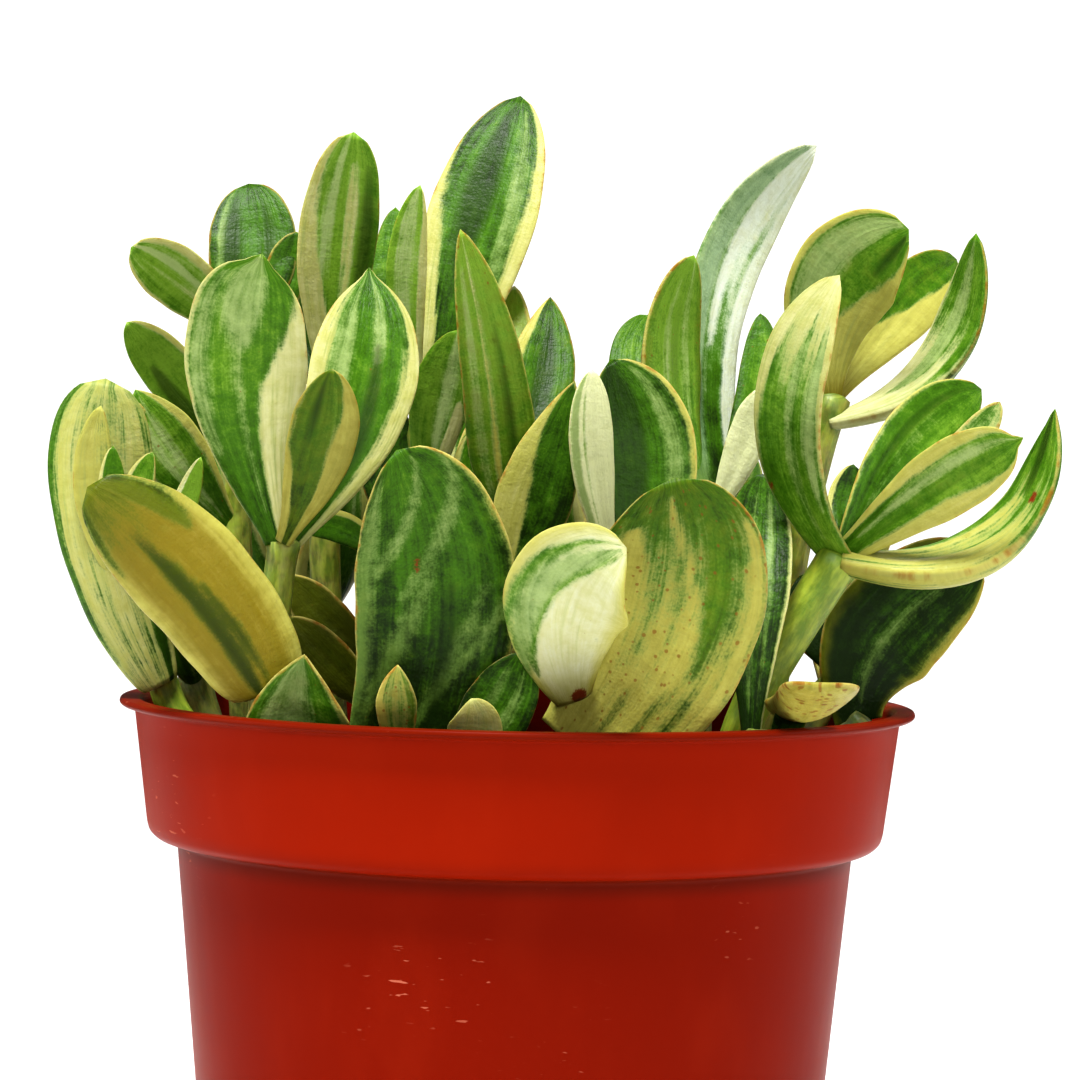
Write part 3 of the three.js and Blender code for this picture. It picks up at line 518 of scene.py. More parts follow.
class Value:
    """A number, colour or vector in a node tree, joined with others by arithmetic."""

    def __init__(self, tree, socket):
        self.tree = tree
        self.socket = socket

    def math(self, operation, *others):
        node = self.tree.nodes.new("ShaderNodeMath")
        node.operation = operation
        for i, value in enumerate((self, *others)):
            feed(self.tree, value, node.inputs[i])
        return Value(self.tree, node.outputs[0])

    def __add__(self, other):
        return self.math("ADD", other)

    def __sub__(self, other):
        return self.math("SUBTRACT", other)

    def __mul__(self, other):
        return self.math("MULTIPLY", other)

    def most(self, other):
        return self.math("MAXIMUM", other)

    def scaled(self, low, high):
        """low where this is 0, and high where it is 1."""
        return self * (high - low) + low

    def ramp(self, low, high):
        """0 up to low, 1 from high on, and a soft step between."""
        node = self.tree.nodes.new("ShaderNodeMapRange")
        node.interpolation_type = "SMOOTHSTEP"
        feed(self.tree, self, node.inputs["Value"])
        node.inputs["From Min"].default_value = low
        node.inputs["From Max"].default_value = high
        return Value(self.tree, node.outputs["Result"])

    def mix(self, low, high):
        """The colour low where this is 0, and high where it is 1."""
        node = self.tree.nodes.new("ShaderNodeMix")
        node.data_type = "RGBA"
        feed(self.tree, self, node.inputs[0])
        feed(self.tree, low, node.inputs[6])
        feed(self.tree, high, node.inputs[7])
        return Value(self.tree, node.outputs[2])


def feed(tree, value, socket):
    if isinstance(value, Value):
        tree.links.new(value.socket, socket)
    else:
        socket.default_value = value


class Look:
    """A material under construction."""

    def __init__(self, name):
        self.material = bpy.data.materials.new(name)
        self.material.use_nodes = True
        self.tree = self.material.node_tree
        self.tree.nodes.clear()
        output = self.tree.nodes.new("ShaderNodeOutputMaterial")
        self.shader = self.tree.nodes.new("ShaderNodeBsdfPrincipled")
        self.tree.links.new(self.shader.outputs[0], output.inputs[0])

    def parts(self, vector):
        node = self.tree.nodes.new("ShaderNodeSeparateXYZ")
        self.tree.links.new(vector, node.inputs[0])
        return [Value(self.tree, part) for part in node.outputs]

    def layer(self, name):
        """The three numbers of a layer of the mesh."""
        node = self.tree.nodes.new("ShaderNodeAttribute")
        node.attribute_name = name
        return self.parts(node.outputs["Vector"])

    def place(self):
        """The place on the object, in metres, as a vector and as its three parts."""
        where = self.tree.nodes.new("ShaderNodeTexCoord").outputs["Object"]
        return Value(self.tree, where), self.parts(where)

    def vector(self, x, y, z):
        node = self.tree.nodes.new("ShaderNodeCombineXYZ")
        for value, socket in zip((x, y, z), node.inputs):
            feed(self.tree, value, socket)
        return Value(self.tree, node.outputs[0])

    def noise(self, where, scale, detail=2.0, roughness=0.5):
        node = self.tree.nodes.new("ShaderNodeTexNoise")
        self.tree.links.new(where.socket, node.inputs["Vector"])
        node.inputs["Scale"].default_value = scale
        node.inputs["Detail"].default_value = detail
        node.inputs["Roughness"].default_value = roughness
        return Value(self.tree, node.outputs[0])

    def cells(self, where, scale):
        """The distance to the middle of the nearest of many cells."""
        node = self.tree.nodes.new("ShaderNodeTexVoronoi")
        self.tree.links.new(where.socket, node.inputs["Vector"])
        node.inputs["Scale"].default_value = scale
        return Value(self.tree, node.outputs["Distance"])

    def bump(self, height, depth, strength=1.0):
        node = self.tree.nodes.new("ShaderNodeBump")
        feed(self.tree, height, node.inputs["Height"])
        node.inputs["Distance"].default_value = depth
        node.inputs["Strength"].default_value = strength
        self.tree.links.new(node.outputs[0], self.shader.inputs["Normal"])

    def set(self, **inputs):
        for name, value in inputs.items():
            feed(self.tree, value, self.shader.inputs[name.replace("_", " ")])
        return self.material


def leaf_material():
    """Green flesh with cream margins, streaks along the leaf, a thin warm edge and brown specks."""
    look = Look("leaf")
    across, along, seed = look.layer("grain")
    cream, pale, dark = look.layer("marks")
    tone, yellow, streak = look.layer("tint")
    edge, specks, spot = look.layer("touch")
    flat = look.vector(across, along, seed)
    broad = look.noise(look.vector(across * 0.38, along * 0.035, seed), 1.0, 2.0, 0.5) - 0.5
    fine = look.noise(look.vector(across * 1.3, along * 0.06, seed + 5.0), 1.0, 3.0, 0.6) - 0.5
    hairs = look.noise(look.vector(across * 3.4, along * 0.1, seed + 9.0), 1.0, 2.0, 0.5) - 0.5
    mottle = look.noise(flat, 0.5, 4.0, 0.6) - 0.5
    grit = look.noise(flat, 3.2, 2.0, 0.5) - 0.5

    sway = broad * 2.2 + fine * 2.0 + hairs * 0.6
    ragged = mottle * 1.5 + grit * 0.8
    level = cream + sway * streak + ragged * 0.6 - (pale + 0.2).most(0.0) * 0.9
    milky = (pale * 0.8 + sway * streak * 1.1 + ragged * 0.8 + 0.1).ramp(-0.35, 0.75)
    milky = milky.most(level.ramp(-0.6, 0.1) * 0.7)
    shade = (dark * 0.8 + sway * streak * 0.6 + ragged * 0.5).ramp(-0.5, 0.6)

    light = tone + mottle * 0.8 + broad * 0.5 + fine * 0.6
    light = light + hairs * 0.2 + grit * 0.4
    green = light.ramp(-0.1, 0.55).mix(LEAF_DARK, LEAF_GREEN)
    green = light.ramp(0.4, 1.0).mix(green, LEAF_LIGHT)
    milk = light.ramp(0.0, 1.0).mix(MILKY_DARK, MILKY_LIGHT)
    milk = yellow.ramp(-0.4, 0.1).mix(light.ramp(0.0, 1.0).mix(FROSTED_DARK, FROSTED_LIGHT), milk)
    green = (milky * 0.85).mix(green, milk)
    green = ((yellow + mottle * 0.6).ramp(0.5, 1.0) * 0.8).mix(green, OLIVE)
    green = (shade * 0.7).mix(green, LEAF_DARK)
    ripe = yellow + mottle * 0.35 + fine * 0.3
    flesh = ripe.ramp(-0.4, 0.1).mix(FROST, CREAM_WHITE)
    flesh = ripe.ramp(0.0, 0.6).mix(flesh, CREAM_GREEN)
    flesh = ripe.ramp(0.5, 1.05).mix(flesh, MUSTARD)
    veins = (fine * 1.4 + hairs * 0.6) * (streak + 0.2)
    flesh = (veins.ramp(0.0, 0.35) * yellow.ramp(0.3, 0.9).scaled(0.6, 0.0)).mix(flesh, milk)
    flesh = (light - streak * 0.2).ramp(0.75, 1.3).mix(flesh, CREAM_PALE)
    dull = mottle * 1.4 + fine * 0.8 + grit * 0.5
    flesh = (dull.ramp(-0.4, 0.5) * streak.scaled(0.08, 0.48)).mix(flesh, CREAM_DULL)
    colour = level.ramp(-0.35, 0.4).mix(green, flesh)

    rim = (edge * 0.8 + mottle * 0.6 - 0.05).ramp(-0.1, 0.2)
    rust = mottle.ramp(-0.05, 0.15).mix(RIM_LIGHT, RIM_RUST)
    colour = (rim * 0.6).mix(colour, rust)
    pits = look.cells(flat, 0.8)
    speckled = ((specks * 0.34) - pits + mottle * 0.5).ramp(-0.05, 0.08)
    colour = (speckled * 0.7).mix(colour, SPECK)
    colour = (spot + grit * 0.7).ramp(0.25, 0.55).mix(colour, SCAR)

    skin = look.cells(flat, 2.6)
    wrinkles = look.noise(look.vector(across * 0.25, along * 1.1, seed), 1.0, 2.0, 0.5)
    ridges = fine * 0.45 + skin * 0.12 + mottle * 0.6 + wrinkles * 0.3
    look.bump(ridges, 0.0005, 0.42)
    look.shader.inputs["Subsurface Radius"].default_value = (1.0, 0.9, 0.3)
    look.shader.inputs["Subsurface Scale"].default_value = 0.0014
    return look.set(
        Base_Color=colour,
        Roughness=mottle * 0.2 + 0.4,
        Specular_IOR_Level=0.11,
        Subsurface_Weight=0.12,
    )


def stem_material():
    """Green stem, browner and corkier towards the soil."""
    look = Look("stem")
    around, along, seed = look.layer("grain")
    young = look.layer("tint")[0]
    where = look.vector(around, along * 0.25, seed)
    streaks = look.noise(where, 0.9, 3.0, 0.6)
    blotch = look.noise(look.vector(around, along, seed), 0.5, 3.0, 0.55)
    green = streaks.ramp(0.3, 0.7).mix(STEM_GREEN, STEM_LIGHT)
    cork = streaks.ramp(0.35, 0.65).mix(CORK_DARK, CORK_LIGHT)
    colour = (young + (blotch - 0.5) * 0.5).ramp(0.1, 0.6).mix(cork, green)
    look.bump(streaks * 0.7 + blotch * 0.5, 0.0005, 0.6)
    return look.set(Base_Color=colour, Roughness=0.5, Subsurface_Weight=0.08)


def soil_material():
    """Damp dark potting mix."""
    look = Look("potting_mix")
    where, _ = look.place()
    lumps = look.noise(where, 260.0, 5.0, 0.65)
    fibres = look.noise(where, 900.0, 3.0, 0.6)
    colour = lumps.ramp(0.35, 0.68).mix(SOIL_DARK, SOIL_LIGHT)
    colour = (fibres.ramp(0.6, 0.72) * 0.6).mix(colour, FIBRE)
    look.bump(lumps + fibres * 0.4, 0.0012, 0.9)
    return look.set(Base_Color=colour, Roughness=0.92)


def crumb_material():
    """Bark, peat and pale grit: the tint layer says which."""
    look = Look("crumbs")
    where, _ = look.place()
    tone = look.layer("tint")[0]
    grain = look.noise(where, 1500.0, 3.0, 0.6)
    colour = tone.ramp(0.0, 0.6).mix(PEAT, BARK)
    colour = tone.ramp(0.75, 0.85).mix(colour, GRIT)
    colour = (grain.ramp(0.45, 0.7) * 0.5).mix(colour, CRUMB_GRAIN)
    look.bump(grain, 0.0004, 0.8)
    return look.set(Base_Color=colour, Roughness=0.88)


def pot_material():
    """Moulded orange red plastic with a few fine scuffs, paler where rubbing has marked the edges of
    the band's lower step and a highlight is painted there, and with painted shade on the lip, under the
    band, on the body and on the inner wall.
    """
    look = Look("pot_plastic")
    where, (x, y, z) = look.place()
    highlight_and_rub, inside, _ = look.layer("touch")
    cloud = look.noise(where, 42.0, 4.0, 0.6) - 0.5
    flow = look.noise(look.vector(x, y, z * 0.4), 120.0, 3.0, 0.5)
    height = z * 1000.0
    band = height.ramp(69.4, 74.4)
    dust = look.noise(where, 1100.0, 3.0, 0.7)
    # The body below the band is a darker red than the band: painted shade, broken by random cloudy
    # tone.
    colour = (band * 0.75 + cloud * 0.6).ramp(0.0, 0.9).mix(POT_RED, POT_ORANGE)
    colour = (flow.ramp(0.45, 0.8) * 0.08).mix(colour, POT_PALE_AND_HIGHLIGHT)
    # Paler on the edges of the band's lower step: rubbing and a painted highlight.
    highlight_and_rub_mask = (highlight_and_rub + cloud * 0.9 + (dust - 0.5) * 0.6).ramp(0.6, 1.2)
    colour = (highlight_and_rub_mask * 0.4).mix(colour, POT_PALE_AND_HIGHLIGHT)
    # Painted shade darkens the top of the lip.
    lip = (height + cloud * 1.5).ramp(88.3, 89.3)
    colour = (lip * 0.55).mix(colour, POT_PAINTED_SHADE)
    # Painted shadow on the body just under the band's step.
    shadow_under_band = height.ramp(68.6, 71.2) * height.ramp(71.4, 72.2).scaled(1.0, 0.0)
    colour = (shadow_under_band * 0.6).mix(colour, POT_PAINTED_SHADE)
    # Painted shade on the inner wall, darkest near the soil and lighter towards the rim.
    inner_shade = inside * (height + cloud * 8.0).ramp(86.0, 94.0).scaled(1.0, 0.2)
    colour = (inner_shade * 0.85).mix(colour, POT_INNER_SHADE)
    scratches = look.noise(look.vector(x * 1.4, y * 1.4, z * 6.0), 300.0, 2.0, 0.4)
    patch = look.noise(where, 34.0, 2.0, 0.5).ramp(0.55, 0.68)
    scuffed = scratches.ramp(0.68, 0.74) * patch * 0.7 + dust.ramp(0.77, 0.82) * 0.35
    colour = (scuffed * 0.6).mix(colour, POT_SCUFF)
    look.bump(cloud * 0.5 + flow * 0.25 + dust * 0.03, 0.0004, 0.3)
    return look.set(
        Base_Color=colour,
        Roughness=cloud * 0.2 + scuffed * 0.25 + 0.38,
        Specular_IOR_Level=0.03,
        Sheen_Weight=0.06,
        Sheen_Roughness=0.3,
        Sheen_Tint=POT_SHEEN,
    )


def floor_material():
    look = Look("floor")
    where, _ = look.place()
    cloud = look.noise(where, 6.0, 2.0, 0.5)
    return look.set(Base_Color=cloud.mix(FLOOR_LOW, FLOOR_HIGH), Roughness=0.75)


def width_at(t, widest, point, neck, rise):
    """Half the leaf's width at shares t of its length, as a share of the widest half."""
    swell = neck + (1 - neck) * np.sin(np.pi / 2 * np.minimum(t / widest, 1)) ** rise
    past = np.clip((t - widest) / (1 - widest), 0, 1)
    return np.where(t < widest, swell, (1 - past ** (2.6 - point)) ** (0.55 + 0.4 * point))


def thickness_at(t):
    swell = 0.62 + 0.38 * np.sin(np.pi * np.minimum(t / 0.7, 1))
    return swell * np.sqrt(1 - t ** 5)


def stripe(s, v, low, high, width, start, end):
    """How far inside a stripe along the leaf: 1 well inside, -1 well outside."""
    fade = np.clip(np.minimum((v - start) / MARK_END, (end - v) / MARK_END), 0, 1)
    inside = (width * np.sqrt(fade) - np.abs(s - low - (high - low) * v)) / MARK_SOFTNESS
    return np.where(fade > 0, np.clip(inside, -1, 1), -1)


def over_length(v, values):
    """A measure over the length v of a leaf, from its values at foot, middle and tip."""
    return np.interp(v, [0, 0.5, 1], np.broadcast_to(values, 3))


def margin(distance, v, widths):
    inside = (over_length(v, widths) - distance) / MARK_SOFTNESS
    return np.clip(inside, -1, 1)


def leaf_marks(s, v, leaf):
    """The cream, pale and dark stripes of a leaf over its width s and length v."""
    cream = over_length(v, leaf.get("base", -1))
    pale = np.full_like(s, -1)
    dark = np.full_like(s, -1)
    if "left" in leaf:
        cream = np.maximum(cream, margin(s + 1, v, leaf["left"]))
    if "right" in leaf:
        cream = np.maximum(cream, margin(1 - s, v, leaf["right"]))
    for kind, *stripe_at in leaf.get("marks", ()):
        field = stripe(s, v, *stripe_at)
        if kind == "cream":
            cream = np.maximum(cream, field)
        elif kind == "green":
            cream = np.minimum(cream, -field)
        elif kind == "pale":
            pale = np.maximum(pale, field)
        else:
            dark = np.maximum(dark, field)
            cream = np.minimum(cream, -field)
    return np.stack([cream, pale, dark], -1)


def leaf_touch(s, v, half, length, leaf):
    """The warm edge, the specks and the brown spots of a leaf."""
    to_margin = np.minimum((1 - np.abs(s)) * half, (1.02 - v) * length)
    reach = leaf.get("edge", 0.15) * np.interp(v, [0, 0.35, 1], [0.15, 0.45, 0.65])
    specks = np.full_like(s, leaf.get("specks", 0))
    spot = np.zeros_like(s)
    for across, along, size in leaf.get("spots", ()):
        away = np.hypot((s - across) * half, (v - along) * length)
        spot = np.maximum(spot, 1 - away / (size + 0.6))
    return np.stack([reach - to_margin, specks, np.clip(spot, 0, 1)], -1)


def add_leaf(shell, leaf, chance):
    """One leaf: a lens skinned along its middle line, a little cupped and uneven."""
    start, middle, tip = leaf["from"], leaf["via"], leaf["to"]
    handle = 2 * middle - (start + tip) / 2
    share = np.linspace(0, 1, LEAF_RINGS + 1)[:-1]
    t = LEAF_RINGS_END * (0.55 * share + 0.45 * (1 - np.cos(np.pi * share)) / 2)[:, None]
    line = start * (1 - t) ** 2 + handle * 2 * t * (1 - t) + tip * t ** 2
    along = unit((handle - start) * (1 - t) + (tip - handle) * t)
    face = np.array(leaf.get("face", FRONT), float)
    flat = unit(face - along * (along @ face)[:, None])
    turn = math.radians(leaf.get("turn", 0))
    up = flat * math.cos(turn) + np.cross(along, flat) * math.sin(turn)
    side = np.cross(up, along)

    wide = leaf["wide"]
    length = np.linalg.norm(tip - start)
    shape = [leaf.get(key, plain) for key, plain in LEAF_SHAPE]
    waves = chance.uniform(0, 6.28), chance.uniform(0, 6.28), chance.uniform(0, 6.28)
    ragged = 1 + LEAF_RAGGED[0] * np.sin(11 * t + waves[0]) + LEAF_RAGGED[1] * np.sin(27 * t + waves[1])
    half = wide / 2 * width_at(t, *shape) * ragged
    full = leaf.get("thick", LEAF_THICK + LEAF_THICK_BY_WIDTH * wide)
    thick = np.minimum(full * thickness_at(t), LEAF_ROUND_EDGE * half)
    sides = WIDE_LEAF_SIDES if wide > WIDE_LEAF else LEAF_SIDES
    across, over = circle(sides).T
    lift = thick * over * np.where(over > 0, LEAF_UPPER_SHARE, 1 - LEAF_UPPER_SHARE)
    lift = lift + LEAF_CUP * half * across ** 2
    depth, reach = LEAF_CHANNEL
    channel = depth * full * np.exp(-(across / reach) ** 2) * np.sin(np.pi * np.minimum(t * 1.2, 1))
    lift = lift - np.where(over > 0, channel * over, 0)
    roll = np.sin(6.5 * t + 1.4 * across + waves[1]) + 0.6 * np.sin(15 * t - 2 * across + waves[2])
    lift = lift + LEAF_ROLL * wide * roll * np.sin(np.pi * np.clip(t, 0, 1))
    rings = line[:, None] + side[:, None] * (half * across)[..., None] + up[:, None] * lift[..., None]

    s = -across * np.ones_like(t)
    if math.cos(turn) < -0.5:
        s = -s
    v = t * np.ones_like(across)
    grain = np.stack([s * wide / 2, v * length, np.full_like(s, leaf["seed"])], -1)
    yellow = leaf.get("yellow", 0.35) + leaf.get("foot", 0) * 4 * np.clip(0.14 - v, 0, 1)
    yellow = yellow + leaf.get("sides", 0.05) * np.clip((np.abs(s) - 0.6) * 3, 0, 1)
    # Painted sheen down the middle of the leaf, and painted shade towards its margins, foot and tip.
    painted_sheen = np.sin(np.pi * v ** 1.3) * (1 - s ** 2) - 0.5
    # Painted shade and light along the leaf, from its fade.
    fade = over_length(v, leaf.get("fade", LEAF_PAINTED_SHADING))
    tone = leaf.get("tone", 0.4) + LEAF_PAINTED_SHEEN * painted_sheen + fade
    tint = np.stack([tone, yellow, np.full_like(s, leaf.get("streak", 0.45))], -1)
    layers = dict(
        grain=grain,
        marks=leaf_marks(s, v, leaf),
        tint=tint,
        touch=leaf_touch(s, v, wide / 2 * width_at(v, *shape), length, leaf),
    )
    last = tip
    if "nib" in leaf:
        rings, layers, last = add_nib(rings, layers, tip, along[-1], leaf["nib"])
    shell.add(start, rings, last, 0, **layers)


def add_nib(rings, layers, tip, way, length):
    """The small nib at a leaf's tip: two more rings past it, and its point."""
    shares = ((0.5, -0.02), (0.3, 0.45))
    last = rings[-1]
    middle = last.mean(0)
    extra = [tip + way * length * reach + (last - middle) * share for share, reach in shares]
    rings = np.concatenate([rings, np.array(extra)])
    layers = {name: np.concatenate([a, a[-1:], a[-1:]]) for name, a in layers.items()}
    return rings, layers, tip + way * length


def add_stem(shell, root, points, leaves, young, stout, seed):
    """A round stem with a swelling at each leaf and fainter rings between."""
    foot = np.array([root[0], root[1], ROOT_Z], float)
    collar = np.array([root[0], root[1], STEM_STRAIGHT_Z], float)
    line = catmull([foot, collar] + list(points), STEM_STEPS)
    ways = unit(np.gradient(line, axis=0))
    side = unit(np.cross(ways, FRONT))
    front = np.cross(ways, side)
    travelled = np.concatenate([[0], np.cumsum(np.linalg.norm(np.diff(line, axis=0), axis=1))])
    radius = np.interp(travelled, [0, travelled[-1]], [STEM_LOW_RADIUS, stout])
    for leaf in leaves:
        away = np.linalg.norm(line - leaf["from"], axis=1)
        swell = max(STEM_SWELL_RADIUS, stout + 0.2)
        radius = np.maximum(radius, swell * np.exp(-(away / STEM_SWELL_REACH) ** 2))
    beat = np.clip(np.sin(travelled / STEM_RING_STEP + seed), 0.75, 1)
    radius = radius + STEM_RING_LIFT * beat - 0.1
    angle = 2 * np.pi * np.arange(STEM_SIDES) / STEM_SIDES
    out = side[:, None] * np.cos(angle)[None, :, None] + front[:, None] * np.sin(angle)[None, :, None]
    rings = line[:, None] + out * radius[:, None, None]
    ones = np.ones((len(line), STEM_SIDES))
    grain = np.stack([ones * angle * 2, ones * travelled[:, None], ones * seed], -1)
    rise = np.interp(line[:, 2], STEM_CORK_Z, [0, 1])[:, None]
    tint = np.stack([ones * (young * 0.6 + 0.4 * young * rise), 0 * ones, 0 * ones], -1)
    shell.add(line[0], rings, line[-1] + ways[-1] * 1.2, 1, grain=grain, tint=tint)


def back_look(chance):
    """A look for a leaf that the front doesn't show, in the manner of those that it does."""
    wide = chance.random() < 0.55
    return {
        "tone": chance.uniform(0.25, 0.62),
        "yellow": chance.uniform(0.2, 0.65),
        "streak": chance.uniform(0.4, 0.8),
        "edge": chance.uniform(0.1, 0.7),
        "left": [chance.uniform(0.05, 0.6 if wide else 0.2) for _ in range(3)],
        "right": [chance.uniform(0.05, 0.7 if wide else 0.2) for _ in range(3)],
        "marks": [
            ("pale", chance.uniform(-0.5, 0.1), chance.uniform(-0.3, 0.1), 0.08, 0.1, 0.9),
            ("dark", chance.uniform(0, 0.4), chance.uniform(0, 0.3), 0.12, 0, 0.85),
        ],
    }


def back_leaves(shoot, chance):
    """Pairs of leaves up a stem at the back, each pair a quarter turn past the last."""
    top = np.array(shoot["top"], float)
    axis = unit(top - np.array([*shoot["root"], STEM_STRAIGHT_Z]))
    side = -unit(np.cross(axis, FRONT))
    front = np.cross(side, axis)
    pairs = shoot["pairs"]
    for i in range(2 * pairs):
        pair = i // 2
        bearing = math.radians(shoot["around"] + 90 * pair + 180 * (i % 2) + 9 * math.sin(5.3 * i + 1))
        low = shoot["low"] + (BACK_TOP_LIFT - shoot["low"]) * pair / (pairs - 1)
        lift = math.radians(low + 5 * math.sin(3.1 * i))
        size = shoot["long"] * (1 - BACK_PAIR_SHRINK * pair + 0.06 * math.sin(2.3 * i + 2))
        out = side * math.cos(bearing) + front * math.sin(bearing)
        way = out * math.cos(lift) + axis * math.sin(lift)
        face = axis * math.cos(lift) - out * math.sin(lift)
        start = top - axis * BACK_PAIR_STEP * (pairs - 1 - pair)
        yield {
            "from": start,
            "via": start + way * size / 2 - face * BACK_LEAF_SAG * size,
            "to": start + way * size,
            "face": face,
            "wide": BACK_LEAF_WIDE * size,
            **back_look(chance),
        }


def make_shoot(name, shoot, number, materials):
    """One leafy stem as a piece of its own."""
    chance = random.Random(SEED * 100 + number)
    if "top" in shoot:
        points = [np.array(shoot["top"], float)]
        leaves = list(back_leaves(shoot, chance))
    else:
        points, leaves = shoot["points"], shoot["leaves"]
    shell = Shell()
    young, stout = shoot.get("young", 0.4), shoot.get("stout", STEM_TOP_RADIUS)
    add_stem(shell, shoot["root"], points, leaves, young, stout, chance.uniform(0, 50))
    for leaf in leaves:
        leaf["seed"] = chance.uniform(0, 400)
        add_leaf(shell, leaf, chance)
    shell.piece("leafy_" + name, materials, "plant", [name])


def soil_top(x, y):
    long = np.sin(0.21 * x + 1.1) * np.cos(0.17 * y - 0.6)
    return SOIL_Z + SOIL_LUMP * (long + 0.5 * np.sin(0.47 * x - 0.38 * y))


def soil_relief(x, y):
    """Small lumps on the crown of the soil."""
    waves = ((1.1, 0.7, 0.4), (-0.8, 1.3, 2.1), (1.9, -1.6, 0.9), (2.7, 2.2, 3.3), (-3.4, 1.1, 5.0))
    return sum(0.75 / (1 + i) * np.sin(a * x + b * y + c) for i, (a, b, c) in enumerate(waves)) * 0.35


def turned(profile, sides):
    """The rings of a profile of radii and heights, turned about the pot's axis."""
    return [np.column_stack([circle(sides) * r, np.full(sides, z)]) for r, z in profile]


def make_soil(material):
    """The soil: a plain body in the pot under a lumpy crown."""
    rings = turned(SOIL_WALL, SOIL_SIDES)
    for share in np.linspace(1, 0.01, SOIL_RINGS):
        flat = circle(SOIL_SIDES) * SOIL_EDGE * share
        x, y = flat[:, 0], flat[:, 1]
        calm = min(1, (1 - share) / SOIL_CALM_RIM)
        rings.append(np.column_stack([flat, soil_top(x, y) + calm * soil_relief(x, y)]))
    shell = Shell()
    rings = np.array(rings)
    shell.add((0, 0, SOIL_WALL[0][1]), rings, rings[-1].mean(0))
    shell.piece("potting_soil", [material], "soil", ["soil"])


def make_crumbs(material, roots):
    """Bark, peat crumbs and pale grit lying on the soil, away from the stems."""
    chance = random.Random(SEED)
    shell = Shell()
    for _ in range(CRUMBS):
        r = (SOIL_EDGE - CRUMB_FROM_EDGE) * math.sqrt(chance.random())
        bearing = chance.uniform(0, 2 * math.pi)
        x, y = r * math.cos(bearing), r * math.sin(bearing)
        size = CRUMB_SMALL + CRUMB_GROWTH * chance.random() ** 2.4
        if min(math.hypot(x - a, y - b) for a, b in roots) < size + CRUMB_FROM_STEM:
            continue
        grit = chance.random() < GRIT_SHARE
        shape = [size * chance.uniform(0.6, 1.2) for _ in range(3)]
        turn = Matrix.Rotation(chance.uniform(0, 6.28), 3, "Z")
        turn = np.array(turn @ Matrix.Rotation(chance.uniform(0, 0.8), 3, "X")).T
        rings = []
        for level in CRUMB_LEVELS:
            out = [math.sqrt(1 - level ** 2) * chance.uniform(0.8, 1.15) for _ in range(CRUMB_SIDES)]
            flat = circle(CRUMB_SIDES) * np.array(out)[:, None]
            rings.append(np.column_stack([flat, np.full(CRUMB_SIDES, level)]) * shape)
        middle = np.array([x, y, soil_top(x, y) + soil_relief(x, y) + 0.2 * shape[2]])
        rings = np.array(rings) @ turn + middle
        ends = np.array([(0, 0, -shape[2]), (0, 0, shape[2])]) @ turn + middle
        tone = 0.95 if grit else chance.uniform(0, 0.6)
        shell.add(ends[0], rings, ends[1], tint=np.full(rings.shape, tone))
    piece = shell.piece("soil_crumbs", [material], "soil")
    piece.data.polygons.foreach_set("use_smooth", [False] * len(piece.data.polygons))


def rounded(corners, reach=0.45, steps=4):
    """The profile with each inner corner rounded over reach millimetres, and its corner shares."""
    points, bends = [corners[0]], [0.0]
    for before, corner, after in zip(corners, corners[1:], corners[2:]):
        a, b, c = (np.array(p, float) for p in (before, corner, after))
        cut = min(reach, 0.45 * np.linalg.norm(b - a), 0.45 * np.linalg.norm(c - b))
        start = b + (a - b) / np.linalg.norm(a - b) * cut
        end = b + (c - b) / np.linalg.norm(c - b) * cut
        for t in np.linspace(0, 1, steps + 1):
            points.append(tuple(start * (1 - t) ** 2 + b * 2 * t * (1 - t) + end * t ** 2))
            bends.append(math.sin(math.pi * t) * 0.5 + 0.5)
    return points + [corners[-1]], bends + [0.0]


def filled(points, bends, gap=4.0):
    """More points on the long stretches of a profile."""
    out, highlight_and_rub = [points[0]], [bends[0]]
    for (a, b), (c, d) in zip(zip(points, bends), zip(points[1:], bends[1:])):
        count = max(1, round(math.dist(a, c) / gap))
        for i in range(1, count + 1):
            out.append((a[0] + (c[0] - a[0]) * i / count, a[1] + (c[1] - a[1]) * i / count))
            highlight_and_rub.append(d if i == count else 0.0)
    return out, highlight_and_rub


def make_pot(material):
    """The pot turned about its axis, with its drain holes cut through the floor."""
    profile, bends = rounded([(0, 0), *POT_OUTSIDE, *POT_INSIDE, (0, POT_FLOOR)])
    profile, bends = filled(profile[1:-1], bends[1:-1])
    rings = np.array(turned(profile, POT_SIDES))
    top = max(range(len(profile)), key=lambda i: profile[i][1])
    touch = np.zeros(rings.shape)
    # The corners of the band's lower step get rubbing and a painted highlight.
    for i, (r, z) in enumerate(profile):
        takes_highlight_and_rub = r > POT_HIGHLIGHT_AND_RUB_RADIUS and POT_HIGHLIGHT_AND_RUB_Z[0] < z < POT_HIGHLIGHT_AND_RUB_Z[1]
        touch[i, :, 0] = bends[i] if takes_highlight_and_rub else 0
        touch[i, :, 1] = i > top
    shell = Shell()
    shell.add((0, 0, 0), rings, (0, 0, POT_FLOOR), touch=touch)
    cut_drains(shell.piece("nursery_pot", [material], "pot_plastic", ["pot"]))


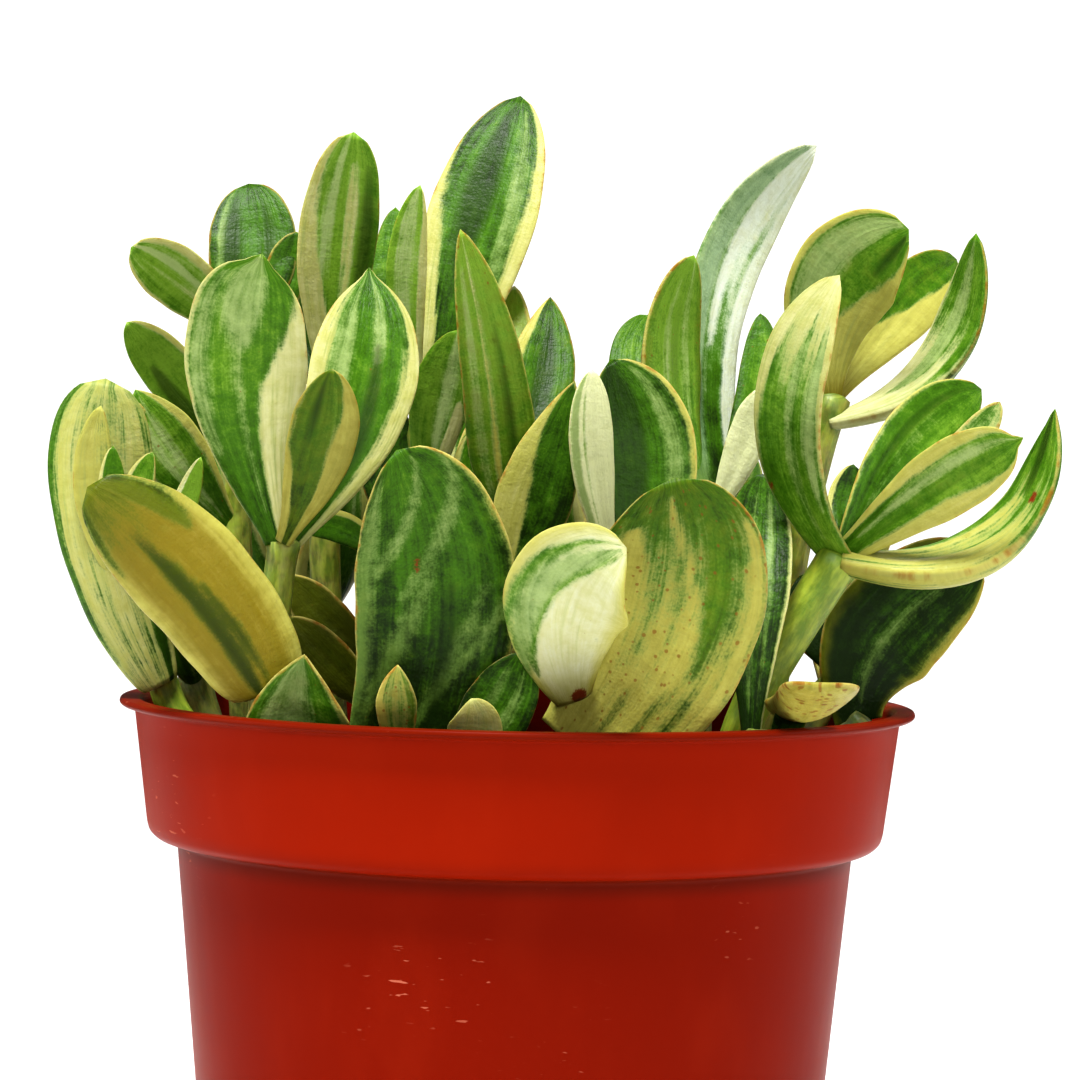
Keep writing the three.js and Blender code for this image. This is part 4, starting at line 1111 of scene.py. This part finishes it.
def cut_drains(pot):
    """The holes, cut through the floor by rods that are deleted again."""
    holes = Shell()
    for hole in range(DRAIN_COUNT):
        bearing = 2 * math.pi * hole / DRAIN_COUNT
        x, y = DRAIN_CIRCLE * math.cos(bearing), DRAIN_CIRCLE * math.sin(bearing)
        rod = [(DRAIN_RADIUS, -1.0), (DRAIN_RADIUS, POT_FLOOR + 1)]
        holes.add((x, y, -1.0), np.array(turned(rod, DRAIN_SIDES)) + (x, y, 0), (x, y, POT_FLOOR + 1))
    mesh = bpy.data.meshes.new("drain_cutters")
    mesh.from_pydata([tuple(map(float, p)) for p in np.concatenate(holes.points) * MM], [], holes.faces)
    cutter = bpy.data.objects.new("drain_cutters", mesh)
    bpy.context.collection.objects.link(cutter)
    cut = pot.modifiers.new("drains", "BOOLEAN")
    cut.operation = "DIFFERENCE"
    cut.solver = "EXACT"
    cut.object = cutter
    bpy.context.view_layer.update()
    shaped = pot.evaluated_get(bpy.context.evaluated_depsgraph_get())
    pot.modifiers.clear()
    old = pot.data
    pot.data = bpy.data.meshes.new_from_object(shaped)
    bpy.data.meshes.remove(old)
    bpy.data.objects.remove(cutter)
    bpy.data.meshes.remove(mesh)


def make_camera():
    data = bpy.data.cameras.new("camera")
    data.lens = LENS
    data.sensor_width = SENSOR
    camera = bpy.data.objects.new("camera", data)
    ahead = unit(TARGET - EYE)
    right = unit(np.cross(ahead, (0, 0, 1)))
    top = np.cross(right, ahead)
    across = right * math.cos(ROLL) + top * math.sin(ROLL)
    upward = top * math.cos(ROLL) - right * math.sin(ROLL)
    turn = Matrix((across, upward, -ahead)).transposed().to_4x4()
    camera.matrix_world = Matrix.Translation(Vector(EYE * MM)) @ turn
    bpy.context.collection.objects.link(camera)
    bpy.context.scene.camera = camera


def make_light(name, place, size, power):
    data = bpy.data.lights.new(name, "AREA")
    data.size = size
    data.energy = power
    light = bpy.data.objects.new(name, data)
    light.location = place
    light.rotation_mode = "QUATERNION"
    light.rotation_quaternion = (Vector(LIGHTS_AIM) - Vector(place)).to_track_quat("-Z", "Y")
    bpy.context.collection.objects.link(light)


def make_studio():
    """A pale floor under soft light from above and in front, and a white room all round."""
    bpy.context.scene.view_settings.view_transform = "Standard"
    bpy.context.scene.view_settings.look = "Medium High Contrast"
    world = bpy.data.worlds.new("studio")
    bpy.context.scene.world = world
    world.use_nodes = True
    tree = world.node_tree
    sky = tree.nodes["Background"]
    sky.inputs[0].default_value = (1, 1, 1, 1)
    seen_directly = tree.nodes.new("ShaderNodeLightPath").outputs["Is Camera Ray"]
    strength = Value(tree, seen_directly).scaled(SKY_LIGHT, SKY_SHOWN)
    tree.links.new(strength.socket, sky.inputs[1])
    bpy.ops.mesh.primitive_plane_add(size=FLOOR_ACROSS, location=(0, 0, -0.0003))
    floor = bpy.context.object
    floor.name = "floor"
    floor.data.materials.append(floor_material())
    for light in LIGHTS:
        make_light(*light)


make_camera()
make_studio()
plant_materials = [leaf_material(), stem_material()]
for index, (shoot_name, shoot_facts) in enumerate(SHOOTS.items()):
    make_shoot(shoot_name, shoot_facts, index, plant_materials)
make_soil(soil_material())
make_crumbs(crumb_material(), [facts["root"] for facts in SHOOTS.values()])
make_pot(pot_material())
